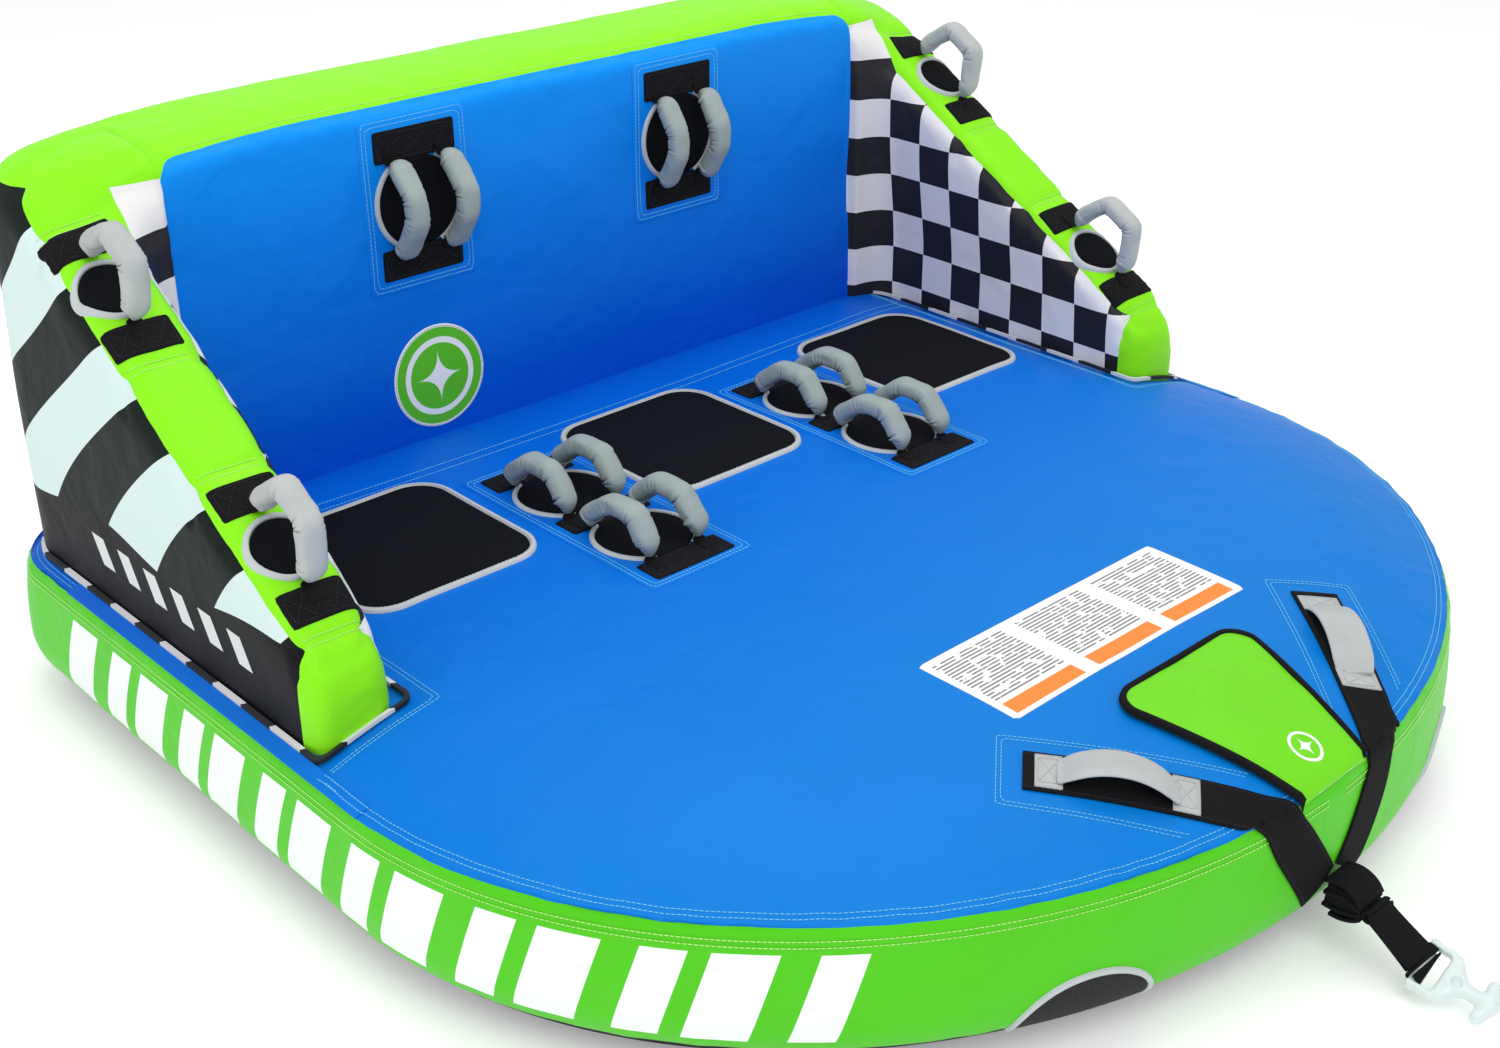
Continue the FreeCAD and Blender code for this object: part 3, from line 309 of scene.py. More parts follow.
def woven(name, color, rough=0.8, scale=420.0, strength=0.5):
    """Webbing or padded cloth with a coarse weave."""
    made = Shader(name, color, rough, 0.14)
    made.base(made.shade(color, 0.18, 30.0))
    weave = made.add("ShaderNodeTexWave", Vector=made.coord.outputs["Object"], Scale=scale / 6,
                     Distortion=0.4)
    made.bump([(made.grain(60.0, 3.0, 0.4), 0.25, 0.002), (weave.outputs[1], strength * 0.4, 0.0006),
               (made.grain(1400.0, 1.0), strength, 0.0004)])
    return made


DECK_BLUE = srgb(1, 121, 210)
DECK_FAR = srgb(1, 100, 212)
# Backrest blues: the darker one is painted shade at the backrest's foot, the lighter one painted
# light at its top.
BACK_SHADED_BLUE = srgb(1, 88, 212)
BACK_LIT_BLUE = srgb(8, 144, 240)
CAP_GREEN = srgb(140, 236, 30)
BAND_GREEN = srgb(80, 200, 14)
FLAP_GREEN = srgb(112, 214, 22)
WHITE = srgb(236, 240, 240)
BLACK = srgb(24, 24, 28)

M = {}
M["deck"] = coated_fabric("deck_fabric", DECK_BLUE, far=DECK_FAR, axis=1,
                          span=(-0.45, 0.60)).mat
# The backrest's blue runs from painted shade low down to painted light at the top, with height.
M["back"] = coated_fabric("back_fabric", BACK_SHADED_BLUE, 0.40, 0.45, far=BACK_LIT_BLUE,
                          span=(0.34, 0.85)).mat
M["cap"] = coated_fabric("cap_fabric", CAP_GREEN, 0.36, 0.5).mat
M["base"] = coated_fabric("base_fabric", srgb(14, 16, 24), 0.6, 0.4).mat
M["webbing"] = woven("webbing", srgb(20, 20, 23), 0.85).mat
M["neoprene"] = woven("neoprene", srgb(9, 11, 16), 0.9, 300.0, 0.2).mat
M["binding"] = woven("binding_tape", srgb(196, 202, 204), 0.7).mat
M["grip"] = woven("grip_sleeve", srgb(158, 170, 168), 0.72, 260.0, 0.35).mat
M["grip_pale"] = woven("grip_sleeve_pale", srgb(184, 188, 188), 0.72, 260.0, 0.35).mat
M["thread_blue"] = woven("thread_cyan", srgb(120, 205, 240), 0.6).mat
M["thread_green"] = woven("thread_green", srgb(196, 240, 140), 0.6).mat
M["thread_grey"] = woven("thread_grey", srgb(190, 190, 190), 0.6).mat
M["thread_black"] = woven("thread_black", srgb(44, 44, 48), 0.8).mat
M["film"] = coated_fabric("bladder_film", srgb(200, 205, 210), 0.3, 0.3).mat
M["valve"] = coated_fabric("valve_plastic", srgb(34, 35, 38), 0.45, 0.05, 0.05).mat


def panel_material():
    """Reinforcement panels take the blue of what they are sewn to: the deck, or the backrest with
    its painted shade at the foot and painted light at the top.
    """
    made = Shader("panel_fabric", DECK_BLUE, 0.42, 0.10)
    _, y, z = made.axes(made.coord.outputs["Object"])
    along = made.maths("DIVIDE", made.maths("ADD", y, 0.45), 1.05, True)
    up = made.maths("DIVIDE", made.maths("SUBTRACT", z, 0.34), 0.51, True)
    on_deck = made.mix(along, DECK_BLUE, DECK_FAR)
    # On the backrest: painted shade low down, running to painted light at the top.
    on_back = made.mix(up, BACK_SHADED_BLUE, BACK_LIT_BLUE)
    made.base(made.mix(made.maths("GREATER_THAN", z, 0.34), on_deck, on_back))
    made.folds(0.2)
    return made.mat


def connector_material():
    """Milky moulded plastic."""
    made = Shader("connector_plastic", srgb(222, 236, 236), 0.28, 0.5)
    made.base(made.shade(srgb(226, 238, 238), 0.06, 30.0))
    made.bsdf.inputs["Subsurface Weight"].default_value = 0.35
    made.bsdf.inputs["Subsurface Radius"].default_value = (0.01, 0.012, 0.012)
    made.bsdf.inputs["Transmission Weight"].default_value = 0.12
    made.bump([(made.grain(300.0, 2.0), 0.08, 0.0004)])
    return made.mat


def side_band_material():
    """Green band with generic slanted white bars; UV holds metres along and up the band."""
    made = Shader("side_band_fabric", BAND_GREEN, 0.42, 0.22)
    along, up, _ = made.axes(made.coord.outputs["UV"])
    slant = made.maths("MULTIPLY", up, 0.30)
    shifted = made.maths("ADD", along, slant)
    cell = made.maths("FRACT", made.maths("DIVIDE", shifted, 0.205))
    wide = made.between(cell, 0.04, 0.42)
    thin = made.between(cell, 0.55, 0.82)
    bars = made.maths("ADD", wide, thin, True)
    window = made.between(up, 0.078, 0.204)
    span = made.between(shifted, 0.72, 2.16)
    mask = made.maths("MULTIPLY", bars, made.maths("MULTIPLY", window, span))
    made.base(made.mix(mask, made.shade(BAND_GREEN, 0.12), WHITE))
    made.folds(0.5)
    return made.mat


def check_material():
    """Square checks along the arm's inner side."""
    made = Shader("check_fabric", WHITE, 0.45, 0.22)
    _, y, z = made.axes(made.coord.outputs["Object"])
    sway = made.maths("MULTIPLY", made.maths("SUBTRACT", made.grain(3.0, 1.0), 0.5), 0.03)
    place = made.add("ShaderNodeCombineXYZ", X=made.maths("ADD", y, sway),
                     Y=made.maths("SUBTRACT", z, 0.018), Z=0.01)
    check = made.add("ShaderNodeTexChecker", Vector=place.outputs[0], Scale=1 / 0.073,
                     Color1=srgb(34, 33, 38), Color2=srgb(228, 226, 226))
    made.base(check.outputs[0])
    made.folds(0.4)
    return made.mat


def wave_check_material():
    """Wide waving bands over a black foot with a row of bars, on the arm's outer side."""
    made = Shader("wave_check_fabric", WHITE, 0.5, 0.08)
    _, y, z = made.axes(made.coord.outputs["Object"])
    wave = made.maths("MULTIPLY", made.maths("SINE", made.maths("MULTIPLY", z, 11.0)), 0.035)
    run = made.maths("ADD", made.maths("ADD", y, z), made.maths("ADD", wave, 0.025))
    band = made.maths("LESS_THAN", made.maths("FRACT", made.maths("DIVIDE", run, 0.30)), 0.5)
    upper = made.mix(band, srgb(206, 226, 224), srgb(19, 29, 26))
    edge = made.maths("ADD", 0.372, made.maths("MULTIPLY", made.maths("SINE", made.maths(
        "MULTIPLY", y, 14.0)), 0.014))
    low = made.maths("LESS_THAN", z, edge)
    bars = made.maths("LESS_THAN", made.maths("FRACT", made.maths("DIVIDE", made.maths(
        "ADD", y, made.maths("MULTIPLY", z, -0.5)), 0.075)), 0.45)
    strip = made.between(z, 0.305, 0.350)
    span = made.between(y, 0.14, 0.60)
    bars = made.maths("MULTIPLY", bars, made.maths("MULTIPLY", strip, span))
    lower = made.mix(bars, srgb(22, 22, 25), srgb(210, 214, 214))
    made.base(made.mix(low, upper, lower))
    made.folds(0.4)
    return made.mat


def label_material():
    """A generic information panel: three columns of grey rules over an orange band."""
    made = Shader("label_print", WHITE, 0.45, 0.4)
    u, v, _ = made.axes(made.coord.outputs["UV"])
    column = made.maths("FRACT", made.maths("MULTIPLY", made.maths("ADD", u, 0.25), 6.0))
    inside = made.between(column, 0.07, 0.90)
    ragged = made.add("ShaderNodeTexNoise", Vector=made.coord.outputs["UV"], Scale=60.0, Detail=2.0)
    lines = made.maths("LESS_THAN", made.maths("FRACT", made.maths("MULTIPLY", v, 150.0)), 0.45)
    text = made.maths("MULTIPLY", lines, made.maths("GREATER_THAN", ragged.outputs[0], 0.42))
    rows = made.between(v, -0.040, 0.070)
    text = made.maths("MULTIPLY", text, made.maths("MULTIPLY", rows, inside))
    page = made.mix(text, srgb(240, 240, 238), srgb(120, 120, 122))
    band = made.maths("MULTIPLY", made.between(v, -0.076, -0.050), inside)
    made.base(made.mix(band, page, srgb(246, 132, 42)))
    made.bump([(made.grain(200.0, 2.0), 0.05, 0.0005)])
    return made.mat


def badge_material():
    """A generic round badge: green disc, white ring and a white four-pointed star."""
    made = Shader("badge_print", WHITE, 0.4, 0.4)
    u, v, _ = made.axes(made.coord.outputs["UV"])
    mark, radius = made.mark(u, v, (0.056, 0.066), 0.215)
    rim = made.maths("GREATER_THAN", radius, 0.082)
    made.base(made.mix(made.maths("ADD", mark, rim, True), srgb(88, 190, 30), WHITE))
    made.bump([(made.grain(300.0, 2.0), 0.10, 0.0006)])
    return made.mat


def piping_material():
    """Piping in alternating black and white lengths."""
    made = Shader("piping_tape", BLACK, 0.6, 0.4)
    x, y, _ = made.axes(made.coord.outputs["Object"])
    cell = made.maths("FRACT", made.maths("DIVIDE", made.maths("ADD", x, y), 0.146))
    made.base(made.mix(made.maths("LESS_THAN", cell, 0.5), srgb(28, 28, 32), srgb(214, 214, 214)))
    made.bump([(made.grain(500.0, 2.0), 0.3, 0.0006)])
    return made.mat


M["connector"] = connector_material()
M["band"] = side_band_material()
M["check"] = check_material()
M["wave_check"] = wave_check_material()
M["label"] = label_material()
M["badge"] = badge_material()
M["piping"] = piping_material()
M["panel"] = panel_material()

# ------------------------------------------------------------------ pieces


def piece(name, verts, faces, mat, slot, body="tube", replaces=(), uv=None, smooth=True):
    """One visible piece: a mesh that rides on a body and may stand for CAD nodes."""
    mesh = bpy.data.meshes.new(name)
    mesh.from_pydata([tuple(v) for v in verts], [], [tuple(f) for f in faces])
    mesh.validate()
    if uv is not None:
        layer = mesh.uv_layers.new(name="UVMap")
        index = np.zeros(len(mesh.loops), int)
        mesh.loops.foreach_get("vertex_index", index)
        layer.data.foreach_set("uv", np.asarray(uv, float)[index].ravel())
    made = bpy.data.objects.new(name, mesh)
    scene.collection.objects.link(made)
    edit = bmesh.new()
    edit.from_mesh(mesh)
    bmesh.ops.recalc_face_normals(edit, faces=edit.faces)
    edit.to_mesh(mesh)
    edit.free()
    if smooth:
        mesh.polygons.foreach_set("use_smooth", [True] * len(mesh.polygons))
    mesh.materials.append(mat)
    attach(made, body)
    if replaces:
        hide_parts(*replaces)
    return made


class Builder:
    """Collects several small meshes into one piece."""

    def __init__(self):
        self.verts = []
        self.faces = []
        self.uv = []

    def add(self, verts, faces, uv=None):
        start = len(self.verts)
        self.verts.extend(np.asarray(verts, float))
        self.faces.extend([[i + start for i in face] for face in faces])
        self.uv.extend(uv if uv is not None else [(0.0, 0.0)] * len(verts))

    def done(self, name, mat, slot, **options):
        return piece(name, self.verts, self.faces, mat, slot, uv=self.uv, **options)


def grid_faces(rows, columns, closed=False):
    """Quads between rows of points; closed joins the last column to the first."""
    faces = []
    last = columns if closed else columns - 1
    for i in range(rows - 1):
        for j in range(last):
            k = (j + 1) % columns
            faces.append((i * columns + j, i * columns + k, (i + 1) * columns + k,
                          (i + 1) * columns + j))
    return faces


def tube_faces(rows, columns):
    """Quads round a tube, with a cap at each end."""
    faces = grid_faces(rows, columns, True)
    faces.append(list(range(columns)))
    faces.append(list(range((rows - 1) * columns, rows * columns)))
    return faces


def slab_faces(rows, columns):
    """Faces of a thin slab: one grid of points, the same grid again, and the rim between them."""
    count = rows * columns
    faces = grid_faces(rows, columns)
    faces += [[i + count for i in face] for face in faces]
    rim = list(range(columns)) + [columns * i + columns - 1 for i in range(1, rows)]
    rim += [count - 1 - i for i in range(1, columns)]
    rim += [columns * i for i in range(rows - 2, 0, -1)]
    faces += [(a, b, b + count, a + count) for a, b in zip(rim, rim[1:] + rim[:1])]
    return faces


def quads_of(field, cell, low, background):
    """The zero surface of a field of distances, as vertices and quads."""
    grid = openvdb.FloatGrid(background=background)
    grid.copyFromArray((field / cell).astype(np.float32))
    verts, quads = grid.convertToQuads(0.0)
    return verts * cell + low, quads


# ------------------------------------------------------------------ hull


def outline(offset):
    """The hull's plan outline, moved out by offset; every offset has matching points."""
    half = HALF_WIDTH + offset
    reach = NOSE_REACH + offset
    rear = REAR + offset
    radius = max(CORNER + offset / 2, 0.020)
    angles = np.linspace(math.pi, 2 * math.pi, 241)[:-1]
    parts = [np.stack([half * np.cos(angles), SHOULDER + reach * np.sin(angles)], 1)]

    def line(a, b, count):
        share = np.linspace(0, 1, count + 1)[:-1, None]
        return np.array(a) * (1 - share) + np.array(b) * share

    def corner(x, y, start, count=30):
        turn = np.linspace(start, start + math.pi / 2, count + 1)[:-1]
        return np.stack([x + radius * np.cos(turn), y + radius * np.sin(turn)], 1)

    parts.append(line((half, SHOULDER), (half, rear - radius), 90))
    parts.append(corner(half - radius, rear - radius, 0))
    parts.append(line((half - radius, rear), (radius - half, rear), 160))
    parts.append(corner(radius - half, rear - radius, math.pi / 2))
    parts.append(line((-half, rear - radius), (-half, SHOULDER), 90))
    return np.concatenate(parts)


SEAM_LINE = outline(0)
STEP = np.linalg.norm(np.roll(SEAM_LINE, -1, 0) - SEAM_LINE, axis=1)
PERIMETER = STEP.sum()
ARC = np.concatenate([[0], np.cumsum(STEP)[:-1]])
NOSE_INDEX = 120
ALONG = ARC - ARC[NOSE_INDEX]
ALONG = (ALONG + PERIMETER / 2) % PERIMETER - PERIMETER / 2


def band_offset(z):
    """How far the side of the hull stands out from the seam line at one height."""
    z = np.asarray(z, float)
    above = BULGE * (1 - ((z - BULGE_Z) / (SEAM_Z - BULGE_Z)) ** 2)
    sine = np.clip(1 - z / BULGE_Z, 0, 1)
    below = BULGE - (BASE_INSET + BULGE) * (1 - np.sqrt(1 - sine ** 2))
    return np.where(z >= BULGE_Z, above, below)


def inset_of(points):
    """How far plan points lie inside the seam outline, as the offset of their ring."""
    x = np.abs(points[:, 0])
    y = points[:, 1]
    low = np.full(len(points), -CROWN)
    high = np.full(len(points), 0.05)
    for _ in range(26):
        middle = (low + high) / 2
        half = HALF_WIDTH + middle
        rear = REAR + middle
        nose = (x / half) ** 2 + ((y - SHOULDER) / (NOSE_REACH + middle)) ** 2 < 1
        radius = np.maximum(CORNER + middle / 2, 0.02)
        dx = np.maximum(x - (half - radius), 0)
        dy = np.maximum(y - (rear - radius), 0)
        back = (np.hypot(dx, dy) < radius) & (x < half) & (y < rear)
        inside = np.where(y < SHOULDER, nose, back)
        high = np.where(inside, middle, high)
        low = np.where(inside, low, middle)
    return high


def foot_distance(x, y):
    """Distance in plan from the backrest and arms' footprint, for the dip along their seam."""
    x = np.abs(x)
    seat_x = ARM_IN - x
    seat_y = BACK_FRONT - y
    inner = np.minimum(seat_x, seat_y)
    front = ARM_FRONT - y
    outer = x - ARM_OUT
    outside = np.where(y < ARM_FRONT, np.hypot(front, np.maximum(np.maximum(seat_x, outer), 0)),
                       np.where(x > ARM_OUT, outer, inner))
    return np.maximum(outside, 0)


def deck_seam(x):
    """Y of the sewn line that crosses the deck in front of the backrest."""
    return 0.530 - 0.020 * np.cos(x / 0.70 * math.pi / 2)


def deck_height(points):
    """Height of the deck's cover at plan points, with its slack and its sewn lines."""
    points = np.asarray(points, float)
    inset = inset_of(points)
    share = np.clip(-inset / CROWN, 0, 1)
    z = DECK_Z - (DECK_Z - SEAM_Z) * (1 - share) ** CROWN_POWER
    flat = np.column_stack([points[:, :2], np.zeros(len(points))])
    z = z + 0.0016 * noise(flat, 0.26, 1) + 0.0006 * noise(flat, 0.09, 2)
    turn = np.arctan2(points[:, 1], points[:, 0])
    ripple = noise(np.column_stack([turn * 0.93, turn * 0, turn * 0]), 0.022, 3)
    z = z + 0.0022 * ripple * np.exp(inset / 0.030) * (share > 0.0)
    z = z - 0.006 * np.exp(-foot_distance(points[:, 0], points[:, 1]) / 0.022)
    across = np.abs(points[:, 1] - deck_seam(points[:, 0]))
    z = z - 0.0025 * np.exp(-(across / 0.006) ** 2) * (np.abs(points[:, 0]) < ARM_IN - 0.005)
    return z


def side_rings(low, high, count, seed):
    """Rings of the hull's side between two heights, with puckers towards its seams."""
    rings = []
    for z in np.linspace(low, high, count):
        ring = outline(float(band_offset(z)))
        pucker = np.exp(-(SEAM_Z - z) / 0.020) + np.exp(-abs(z - BASE_SEAM_Z) / 0.022)
        line = np.column_stack([ALONG, np.full(len(ring), z * 0.35), ALONG * 0])
        out = 0.0016 * pucker * noise(line, 0.028, seed) + 0.0014 * noise(line, 0.20, seed + 1)
        out = out - 0.0035 * math.exp(-((SEAM_Z - z) / 0.006) ** 2)
        out = out - 0.0025 * math.exp(-((z - BASE_SEAM_Z) / 0.006) ** 2)
        step = np.roll(ring, -1, 0) - np.roll(ring, 1, 0)
        normal = unit(np.stack([step[:, 1], -step[:, 0]], 1))
        ring = ring + normal * out[:, None]
        rings.append(np.column_stack([ring, np.full(len(ring), z)]))
    return rings


def closed_rings(rings):
    """Vertices and faces of stacked rings, each joined round to itself; the ends are left open."""
    columns = len(rings[0])
    verts = np.concatenate(rings)
    faces = grid_faces(len(rings), columns, True)
    return verts, faces


def build_hull():
    """Deck panel, side band and bottom panel; returns the whole surface for laying things on."""
    top_side = side_rings(BASE_SEAM_Z, SEAM_Z, 44, 11)
    verts, faces = closed_rings(top_side)
    uv = np.column_stack([np.tile(np.abs(ALONG), len(top_side)), verts[:, 2]])
    piece("side_band_cover", verts, faces, M["band"], "green_band", replaces=["side_band"], uv=uv)
    whole_verts = [verts]
    whole_faces = [faces]

    rings = [top_side[-1]]
    for share in np.linspace(0, 1, 46)[1:] ** 1.25:
        ring = outline(-CROWN * share)
        rings.append(np.column_stack([ring, deck_height(ring)]))
    inner = outline(-CROWN)
    centre = np.array([0.0, 0.10])
    for share in np.linspace(1, 0.002, 44)[1:]:
        ring = centre + (inner - centre) * share
        rings.append(np.column_stack([ring, deck_height(ring)]))
    verts, faces = closed_rings(rings)
    faces.append(list(range(len(verts) - len(inner), len(verts))))
    piece("deck_cover", verts, faces, M["deck"], "deck_cover", replaces=["deck_top_panel"])
    whole_faces.append([[i + len(whole_verts[0]) for i in face] for face in faces])
    whole_verts.append(verts)

    rings = [top_side[0]]
    for z in (0.040, 0.030, 0.021, 0.013, 0.007, 0.003, 0.0008, 0.0):
        ring = outline(float(band_offset(z)))
        rings.append(np.column_stack([ring, np.full(len(ring), z)]))
    inner = rings[-1][:, :2]
    for share in (0.97, 0.9, 0.75, 0.5, 0.25, 0.002):
        ring = centre + (inner - centre) * share
        rings.append(np.column_stack([ring, np.zeros(len(ring))]))
    verts, faces = closed_rings(rings)
    faces.append(list(range(len(verts) - len(inner), len(verts))))
    piece("base_cover", verts, faces, M["base"], "base_cover", replaces=["bottom_panel"])
    return np.concatenate(whole_verts), whole_faces[0] + whole_faces[1]


hull_verts, hull_faces = build_hull()
hull_tree = BVHTree.FromPolygons([tuple(v) for v in hull_verts], hull_faces)


# ------------------------------------------------------------------ backrest and arms


def top_drop(side):
    """How far the top falls towards its outer corners."""
    gentle = 0.030 * np.clip((side - 0.52) / 0.30, 0, 1) ** 1.5
    return gentle + 0.048 * np.clip((side - 0.81) / 0.09, 0, 1) ** 1.5


def upper_field(x, y, z):
    """Distance-like field of the backrest and arms, negative inside, with soft edges."""
    side = np.abs(x)
    lean = 0.010 - 0.030 * np.clip((z - 0.40) / 0.47, 0, 1)
    arm = side - lean
    rise = (y - ARM_FRONT) * math.tan(SLOPE) + ARM_START_Z
    slope = (z - rise) * math.cos(SLOPE)
    profile = soft_max([ARM_FRONT - y, slope, z - BACK_TOP, y - BACK_REAR], 0.070)
    seat_x = arm - PANEL_HALF
    seat_y = y - (BACK_FRONT - INNER_CORNER)
    belly = 0.007 * np.sin(np.clip((z - 0.29) / 0.50, 0, 1) * math.pi)
    cavity = (np.hypot(np.maximum(seat_x, 0), np.maximum(seat_y, 0))
              + np.minimum(np.maximum(seat_x, seat_y), 0) - INNER_CORNER)
    wedge = soft_max([profile, arm - ARM_OUT - belly, -cavity - belly], 0.050)
    top = z - BACK_TOP + top_drop(side)
    low = np.clip((0.56 - z) / 0.20, 0, 1)
    face = BACK_FRONT - y - 0.009 * low * low * (3 - 2 * low)
    back = soft_max([face, y - BACK_REAR, top, side - BACK_END], 0.090)
    whole = soft_min(wedge, back, 0.070)
    corner_x = side - (ARM_OUT - 0.130)
    corner_y = y - (BACK_REAR - 0.130)
    limit = np.hypot(np.maximum(corner_x, 0), np.maximum(corner_y, 0)) - 0.130
    whole = np.maximum(whole, np.where(side < PANEL_HALF, face + 0.001, -1.0))
    return soft_max([whole, limit, top], 0.030)


def field_mesh(inset):
    """The upper shape as a fine mesh of quads, moved in by inset."""
    cell = 0.009
    low = np.array([-0.936, -0.036, 0.225])
    counts = [209, 104, 74]
    axes = [low[i] + cell * np.arange(counts[i]) for i in range(3)]
    x, y, z = np.meshgrid(*axes, indexing="ij")
    field = upper_field(x, y, z) + inset
    return quads_of(field, cell, low, 0.2)


def drape_upper(verts, normals):
    """Slack and puckers of the upper cover."""
    side = np.abs(verts[:, 0])
    slope_gap = (verts - np.array([0, ARM_FRONT, ARM_START_Z])) @ SLOPE_OFF
    on_arm = side > 0.70
    seam = np.where(on_arm, np.abs(slope_gap + CAP_DROP),
                    np.abs(verts[:, 2] + seam_bend(verts[:, 0]) - CAP_SEAM_Z))
    pucker = np.exp(-seam / 0.020)
    out = 0.0020 * pucker * noise(verts, 0.026, 21) + 0.0022 * noise(verts, 0.16, 22)
    out = out - 0.0030 * np.exp(-(seam / 0.007) ** 2)
    for place in ARM_SEAMS:
        gap = np.abs(verts[:, 1] - place)
        top = (slope_gap > -0.05) & on_arm & (verts[:, 1] < 0.70)
        out = out - 0.0045 * np.exp(-(gap / 0.010) ** 2) * top
    return verts + normals * out[:, None]


def mesh_normals(verts, faces):
    a, b, c, d = (verts[faces[:, i]] for i in range(4))
    face_normal = np.cross(c - a, d - b)
    normals = np.zeros_like(verts)
    for i in range(4):
        np.add.at(normals, faces[:, i], face_normal)
    return unit(normals)


def split_by_planes(verts, faces, planes):
    """Cuts a mesh along planes so that a seam runs between faces, not across them."""
    mesh = bmesh.new()
    made = [mesh.verts.new(v) for v in verts]
    for face in faces:
        mesh.faces.new([made[i] for i in face])
    for point, normal in planes:
        geometry = mesh.verts[:] + mesh.edges[:] + mesh.faces[:]
        bmesh.ops.bisect_plane(mesh, geom=geometry, plane_co=point, plane_no=normal, dist=1e-5)
    mesh.verts.index_update()
    verts = np.array([v.co for v in mesh.verts])
    faces = [[v.index for v in face.verts] for face in mesh.faces]
    mesh.free()
    return verts, faces


def seam_bend(x):
    """How far the front panel's top seam drops towards the panel's rounded upper corners."""
    side = np.abs(x)
    gentle = 0.012 * np.clip((side - 0.45) / 0.24, 0, 1) ** 2
    turn = np.clip(side - (PANEL_HALF - 0.032), 0, 0.031)
    return gentle + 0.032 - np.sqrt(0.032 ** 2 - turn ** 2)


END_BEND = float(seam_bend(PANEL_HALF))
END_SEAM_Z = 0.812
NOSE_SEAM_Y = ARM_FRONT + 0.044
STEEP = np.array([0, -math.sin(math.radians(50)), math.cos(math.radians(50))])
STEEP_POINT = np.array([0, 0.548, 0.699])
LINK_SIDE = 0.765
OUTER_REAR = 0.828


def upper_region(centre):
    """Which panel a spot on the upper cover belongs to; heights are lifted by the seam's bend."""
    x, y, z = centre
    side = abs(x)
    level = z - END_BEND
    gap = (np.array([x, y, level]) - np.array([0, ARM_FRONT, ARM_START_Z])) @ SLOPE_OFF
    tag = "right" if x > 0 else "left"
    if side < PANEL_HALF:
        if z > CAP_SEAM_Z:
            return "top_cap"
        return "backrest_front_panel" if y < TOP_MIDDLE else "backrest_rear_panel"
    steep = (np.array([x, y, level]) - STEEP_POINT) @ STEEP
    on_cap = gap > -CAP_DROP and (side > LINK_SIDE or steep > 0)
    if on_cap or level > END_SEAM_Z or y < NOSE_SEAM_Y:
        return "top_cap" if (y - 0.643) > (side - 0.714) * 0.895 else "arm_cap_" + tag
    if y > (OUTER_REAR if side > ARM_MIDDLE else TOP_MIDDLE):
        return "backrest_rear_panel"
    return ("arm_inner_panel_" if side < ARM_MIDDLE else "arm_outer_panel_") + tag


PANEL_LOOKS = {
    "backrest_front_panel": ("back", "back_cover"), "backrest_rear_panel": ("back", "back_cover"),
    "top_cap": ("cap", "green_cap"),
    "arm_cap_left": ("cap", "green_cap"), "arm_cap_right": ("cap", "green_cap"),
    "arm_inner_panel_left": ("check", "check_panel"),
    "arm_inner_panel_right": ("check", "check_panel"),
    "arm_outer_panel_left": ("wave_check", "check_panel"),
    "arm_outer_panel_right": ("wave_check", "check_panel"),
}


def build_upper():
    """The panels of the backrest and arms; returns the surface for laying things on."""
    verts, quads = field_mesh(0.0)
    verts = drape_upper(verts, mesh_normals(verts, quads))
    keep = verts[quads].mean(1)
    above = keep[:, 2] > 0.236
    quads = quads[above]
    slope_z = ARM_START_Z - CAP_DROP / math.cos(SLOPE) + END_BEND
    planes = [((PANEL_HALF, 0, 0), (1, 0, 0)), ((-PANEL_HALF, 0, 0), (1, 0, 0)),
              ((0, ARM_FRONT, slope_z), tuple(SLOPE_OFF)), ((0, 0, CAP_SEAM_Z), (0, 0, 1)),
              ((0, 0, END_SEAM_Z + END_BEND), (0, 0, 1)),
              ((0, TOP_MIDDLE, 0), (0, 1, 0)), ((0, OUTER_REAR, 0), (0, 1, 0)),
              ((0, NOSE_SEAM_Y, 0), (0, 1, 0)),
              (tuple(STEEP_POINT + Z_AXIS * END_BEND), tuple(STEEP))]
    for sign in (-1, 1):
        planes += [((sign * ARM_MIDDLE, 0, 0), (1, 0, 0)), ((sign * LINK_SIDE, 0, 0), (1, 0, 0)),
                   ((sign * 0.714, 0.643, 0), (-sign * 0.667, 0.745, 0))]
    verts[:, 2] += seam_bend(verts[:, 0])
    verts, faces = split_by_planes(verts, quads.tolist(), planes)
    parts = {}
    for face in faces:
        parts.setdefault(upper_region(verts[face].mean(0)), []).append(face)
    verts[:, 2] -= seam_bend(verts[:, 0])
    for region, region_faces in parts.items():
        used = sorted({i for face in region_faces for i in face})
        order = {old: new for new, old in enumerate(used)}
        look, slot = PANEL_LOOKS[region]
        piece(region + "_cover", verts[used], [[order[i] for i in f] for f in region_faces],
              M[look], slot, replaces=[region])
    return verts, faces


upper_verts, upper_faces = build_upper()
upper_tree = BVHTree.FromPolygons([tuple(v) for v in upper_verts], upper_faces)


